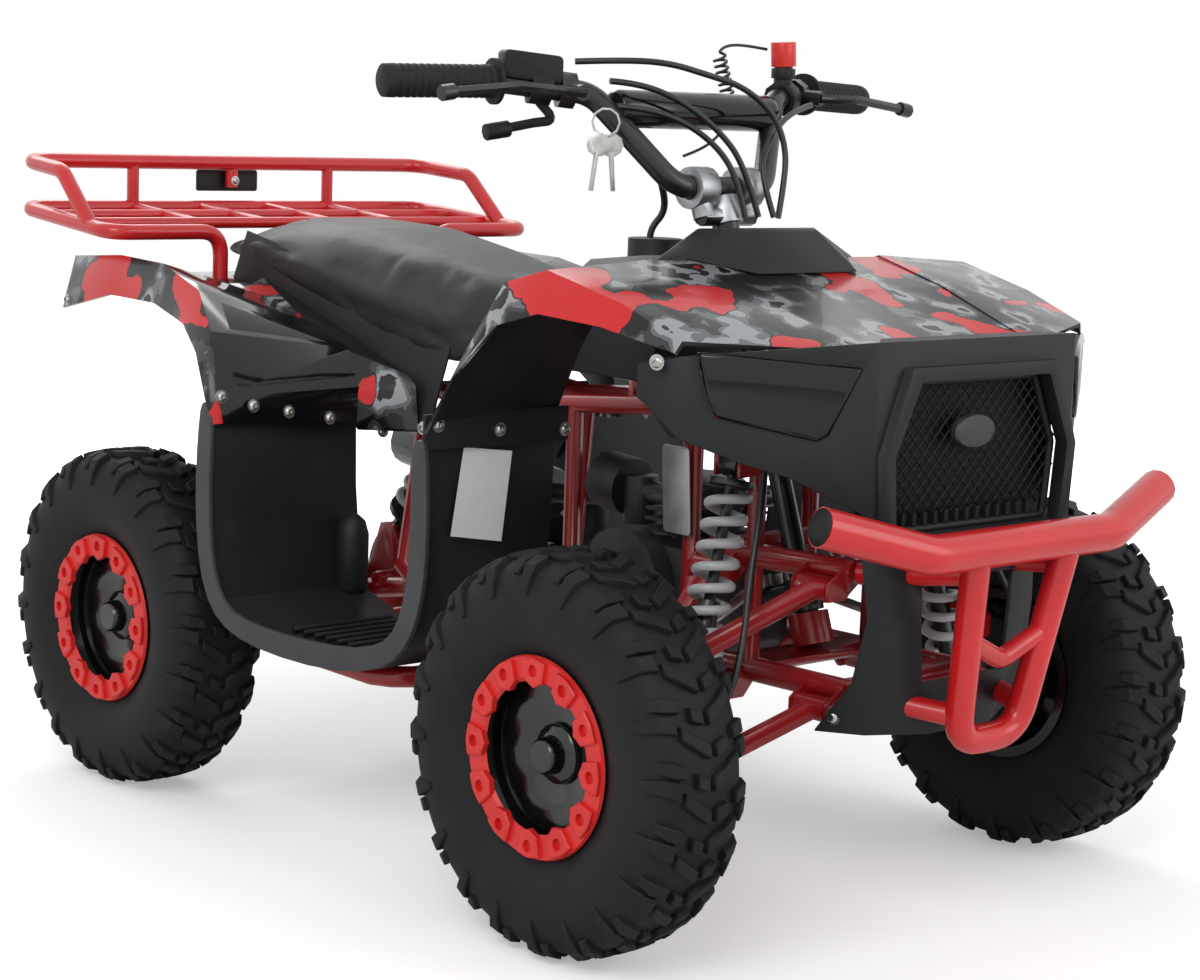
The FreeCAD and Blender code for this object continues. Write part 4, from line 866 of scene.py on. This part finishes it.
front_coil = coil(at(-121, -384, 415), at(-184, -397, 176), 17, 9)
rear_coil = coil(at(0, 118, 432), at(0, 262, 250), 20, 8)
coils = [(path, SPRING_WIRE, 0) for path in (front_coil, other_side(front_coil), rear_coil)]
settle(tubes("coil_springs", coils, spring_coat, bent=False), "chassis", "spring_grey", "shock_springs")
print("coils", len(coils), "points", len(front_coil), len(rear_coil))

# %% [markdown]
# The moulded panels get the flanges that stiffen them: a flat rim round each footwell, treads on
# its floor, a strip where fender and footwell are bolted, and the dark skirt below the seat.

# %% A moulded wall
def moulding(name, rows, skin, thickness_mm, edge_mm, slot="black_plastic"):
    """A thin moulded wall through rows of points, on the chassis."""
    return settle(thickened(mesh_piece(name, [strip(rows)], skin), thickness_mm, edge_mm), "chassis", slot)


# %% Footwell rims, treads and joint strips
well = [(-170, 424), (-164, 320), (-150, 240), (-112, 203), (60, 206), (128, 226), (141, 330), (144, 424)]
well_x = [314, 304, 304, 314, 336, 336, 336, 328]
for side, tag in ((-1, "right"), (1, "left")):
    rows = []
    for k, (y, z) in enumerate(well):
        ahead = well[min(k + 1, len(well) - 1)]
        behind = well[max(k - 1, 0)]
        way = Vector((0, ahead[0] - behind[0], ahead[1] - behind[1])).normalized()
        outside = Vector((0, way.z, -way.y))
        spot = at(side * (well_x[k] + 1.5), y, z)
        rows.append([spot + outside * w / 1000 for w in (17, 8, -8)])
    # The rim's lighter grey is a painted highlight along the footwell's edge.
    rim_piece = mesh_piece("footwell_rim_" + tag, [strip(rows)], rim_highlight_and_badge_grey)
    softened = rim_piece.modifiers.new("round", "SUBSURF")
    softened.levels = softened.render_levels = 2
    thickened(rim_piece, 5, 1.2)
    settle(rim_piece, "chassis", "black_plastic")
    treads = []
    for y in range(-70, 39, 18):
        treads.append(along(at(side * 178, y, 209.5), at(side * 300, y, 209.5),
                            [(0, 2.6), (1, 3.2), (121, 3.2), (122, 2.6)], 8))
    settle(mesh_piece("footwell_treads_" + tag, treads, dark_black), "chassis", "black_plastic")
    boss = along(at(side * 168, 122, 222), at(side * 168, 122, 305),
                 [(0, 14), (4, 17), (60, 17), (74, 13), (80, 6), (82, 0)])
    settle(mesh_piece("heel_boss_" + tag, [boss], matt_black), "chassis", "black_plastic")
    joint_rows = [[at(side * x, -176.5, z) for x in (140, 200, 260, 313)] for z in (414, 428, 447)]
    moulding("fender_joint_" + tag, joint_rows, matt_black, 3.5, 1)
    low = [(45, 396), (70, 398), (100, 430), (140, 455), (178, 474), (260, 500), (340, 521), (400, 525)]
    top = [(45, 486), (70, 490), (100, 498), (140, 510), (178, 520), (260, 544), (340, 568), (400, 578)]
    inset = (104, 106, 109, 113, 116, 118, 116, 114)
    skirt_rows = [[at(side * 132, y, z) for y, z in low],
                  [at(side * x, y, z) for x, (y, z) in zip(inset, top)]]
    moulding("seat_skirt_" + tag, skirt_rows, matt_black, 3, 0.8)
    print("footwell", tag, "rim faces", len(rim_piece.data.polygons), "treads", len(treads))

deck_line = ((326, 516), (368, 522), (414, 526.5))
deck_rows = [[at(x, y, z) for x in (-163, -80, 0, 80, 163)] for y, z in deck_line]
moulding("tail_deck_front", deck_rows, gloss_black, 2.5, 0.6, "gloss_plastic")
label_rows = [[at(-276, -173.5, 332), at(-215, -173.5, 322)], [at(-263, -173.5, 414), at(-205, -173.5, 407)]]
moulding("blank_label", label_rows, label_white, 0.5, 0, "gloss_plastic")

# %% Lower fascia with folded sides, from levels of z, three depths and the window's half width
levels = [(358, 532, 552, 560, 62), (300, 543, 556, 560, 60), (240, 530, 548, 560, 55),
          (192, 493, 530, 558, 42)]
sides = [(112, 100), (112, 96), (114, 100), (118, 94)]
points, faces = [], []
for (z, y1, y2, y3, x3), (x1, x2) in zip(levels, sides):
    half = [(-x1, -y1), (-x2, -y2), (-x3, -y3)]
    points += [at(x, y, z) for x, y in half] + [at(-x, y, z) for x, y in reversed(half)]
for row in range(3):
    for k in range(5):
        if k != 2 or row == 2:
            faces.append((row * 6 + k, row * 6 + k + 1, row * 6 + k + 7, row * 6 + k + 6))
top_bar = len(points)
points += [at(-60, -560, 332), at(60, -560, 332)]
faces.append((2, 3, top_bar + 1, top_bar))
fascia = thickened(mesh_piece("folded_lower_fascia", [(points, faces)], matt_black), 4, 1.5, offset=-1)
settle(fascia, "chassis", "black_plastic", "lower_fascia")
print("fascia faces", len(fascia.data.polygons))

# %% [markdown]
# The grille is a fine diamond lattice. A flat field of small diamonds is laid out inside the
# opening, and the Wireframe modifier turns its edges into bars with open meshes between them.

# %% Grille lattice, its frame, badge and a dark sheet of painted shade behind it
opening = [(-84, 505), (-113, 443), (-107, 376), (107, 376), (113, 443), (84, 505)]


def inside(x, z):
    """Whether a mesh opening's middle lies in the grille's opening, with 2 mm to spare."""
    half = 84 + (505 - z) * 29 / 62 if z > 443 else 107 + (z - 376) * 6 / 67
    return abs(x) < half + 2 and 389 < z < 507


HALF_PITCH, GRILLE_Y, GRILLE_Z = 6.6, -551, 448
points, faces, index = [], [], {}


def corner(i, j):
    """The number of a lattice point, which is added when it is first asked for."""
    if (i, j) not in index:
        index[i, j] = len(points)
        points.append(at(i * HALF_PITCH, GRILLE_Y, GRILLE_Z + j * HALF_PITCH))
    return index[i, j]


for i in range(-18, 19):
    for j in range(-10, 10):
        if (i + j) % 2 and inside(i * HALF_PITCH, GRILLE_Z + j * HALF_PITCH):
            faces.append((corner(i - 1, j), corner(i, j - 1), corner(i + 1, j), corner(i, j + 1)))
lattice = mesh_piece("grille_lattice", [(points, faces)], dark_black)
bars = lattice.modifiers.new("bars", "WIREFRAME")
bars.thickness = 0.0028
bars.use_boundary = True
bars.use_even_offset = False
apply_all(lattice)
settle(lattice, "chassis", "black_plastic", "grille")
edge_path = [at(x, GRILLE_Y - 1, z) for x, z in opening + opening[:1]]
settle(tubes("grille_edge", [(edge_path, 8, 6)], dark_black), "chassis", "black_plastic")
foot_parts = [along(at(x, GRILLE_Y - 1, 380), at(x, GRILLE_Y - 1, 391), [(0, 3.5), (11, 3.5)], 6)
              for x in range(-84, 85, 14)]
settle(mesh_piece("grille_foot", foot_parts, dark_black), "chassis", "black_plastic")
# Painted shade: a dark sheet close behind the lattice stands in for the shaded inside of the nose.
shade_sheet_rows = [[at(x, -538, z) for x in (-130, 0, 130)] for z in (366, 440, 514)]
moulding("painted_shade_sheet_behind_grille", shade_sheet_rows, dark_black, 3, 0)
OVAL_STEPS = 40
oval = []
for distance, size in ((0, 1.0), (5, 1.0), (6.5, 0.94), (7, 0.8)):
    angles = [k * math.tau / OVAL_STEPS for k in range(OVAL_STEPS + 1)]
    oval.append([at(27 * size * math.cos(a), -553 - distance, 459 + 15 * size * math.sin(a)) for a in angles])
badge_points, badge_faces = strip(oval)
last_row = 3 * (OVAL_STEPS + 1)
badge_faces.append(tuple(range(last_row, last_row + OVAL_STEPS)))
settle(mesh_piece("blank_badge", [(badge_points, badge_faces)], rim_highlight_and_badge_grey), "chassis", "black_plastic")
print("grille meshes", len(faces), "foot bars", len(foot_parts))

# %% [markdown]
# The seat is foam under stitched vinyl. Its CAD block is remeshed to an even net and made a
# little smaller. Cloth simulation with inner pressure then blows the cover tight, and no point
# may travel further than a few millimetres.

# %% The seat
VOXEL, SHRINK, MOST_TRAVEL, FRAMES = 0.006, 0.0015, 0.004, 20
seat = placed("padded_seat", frame["nodes"]["seat"].data.copy())
seat.data.materials.clear()
seat.data.materials.append(seat_vinyl)
only(seat)
net = seat.modifiers.new("net", "REMESH")
net.mode = "VOXEL"
net.voxel_size = VOXEL
bpy.ops.object.modifier_apply(modifier="net")
ease = seat.modifiers.new("ease", "SMOOTH")
ease.factor = 0.5
ease.iterations = 14
bpy.ops.object.modifier_apply(modifier="ease")
for vertex in seat.data.vertices:
    vertex.co -= vertex.normal * SHRINK
start = [v.co.copy() for v in seat.data.vertices]
cover = seat.modifiers.new("cover", "CLOTH")
cover.settings.use_pressure = True
cover.settings.uniform_pressure_force = 4
cover.settings.effector_weights.gravity = 0
cover.settings.quality = 5
held = seat.vertex_groups.new(name="base")
held.add([v.index for v in seat.data.vertices if v.normal.z < -0.6], 1.0, "REPLACE")
cover.settings.vertex_group_mass = "base"
for number in range(1, FRAMES + 1):
    bpy.context.scene.frame_set(number)
only(seat)
bpy.ops.object.modifier_apply(modifier="cover")
travel = []
for vertex, origin in zip(seat.data.vertices, start):
    shift = vertex.co - origin
    travel.append(shift.length)
    if shift.length > MOST_TRAVEL:
        vertex.co = origin + shift.normalized() * MOST_TRAVEL
print("seat cover moved up to", round(max(travel) * 1000, 1), "mm")
bpy.context.scene.frame_set(1)
only(seat)
bpy.ops.object.shade_smooth()
settle(seat, "chassis", "vinyl", "seat")
print("seat points", len(seat.data.vertices))

# %% [markdown]
# A studio for a product photograph is a pale room with broad soft lamps. The camera sees a
# white background, while the object is lit at a plain level. The paper glows for the camera only,
# a little near the object, so that its shadow stays, and fully further out.

# %% Floor and lamps
bpy.ops.mesh.primitive_grid_add(x_subdivisions=4, y_subdivisions=4, size=12, location=(0, 0, 0))
floor = bpy.context.object
floor.name = "studio_floor"
ground, tree, shader, place = blank("studio_paper")
shader.inputs["Roughness"].default_value = 0.9
shader.inputs["Base Color"].default_value = colour("#F4F4F3")
shader.inputs["Emission Color"].default_value = (1, 1, 1, 1)
rays = add(tree, "ShaderNodeLightPath")
reach = add(tree, "ShaderNodeVectorMath", {0: place}, operation="LENGTH")
fade = {"Value": reach.outputs["Value"], "From Min": 0.7, "From Max": 2.2, "To Min": 0.35, "To Max": 1.0}
far = add(tree, "ShaderNodeMapRange", fade)
glow = {0: far.outputs[0], 1: rays.outputs["Is Camera Ray"]}
seen_glow = add(tree, "ShaderNodeMath", glow, operation="MULTIPLY")
tree.links.new(seen_glow.outputs[0], shader.inputs["Emission Strength"])
floor.data.materials.append(ground)

world = bpy.context.scene.world or bpy.data.worlds.new("studio")
bpy.context.scene.world = world
world.use_nodes = True
sky = world.node_tree
sky.nodes.clear()
paths = add(sky, "ShaderNodeLightPath")
seen = paths.outputs["Is Camera Ray"]
for ray in ("Is Glossy Ray", "Is Transmission Ray"):
    seen = add(sky, "ShaderNodeMath", {0: seen, 1: paths.outputs[ray]}, operation="MAXIMUM").outputs[0]
strength = add(sky, "ShaderNodeMapRange", {"Value": seen, "To Min": 0.55, "To Max": 1.0})
light = add(sky, "ShaderNodeBackground", {"Color": (1, 1, 1, 1), "Strength": strength.outputs[0]})
add(sky, "ShaderNodeOutputWorld", {"Surface": light.outputs[0]})


def soft_lamp(name, place, aim, size, power):
    """A broad lamp that points at a place."""
    lamp = bpy.data.lights.new(name, "AREA")
    lamp.shape = "RECTANGLE"
    lamp.size, lamp.size_y = size
    lamp.energy = power
    holder = placed(name, lamp)
    holder.location = place
    holder.rotation_euler = (Vector(aim) - Vector(place)).to_track_quat("-Z", "Y").to_euler()


soft_lamp("key", (-2.6, -1.6, 2.4), (0, 0, 0.3), (2.0, 1.6), 42)
soft_lamp("fill", (1.2, -3.0, 1.5), (0, 0, 0.3), (2.0, 1.6), 22)
soft_lamp("back", (0.6, 2.6, 2.4), (0, 0, 0.4), (2.4, 1.2), 30)
bpy.context.scene.view_settings.view_transform = "Standard"
print("lamps", len(bpy.data.lights))
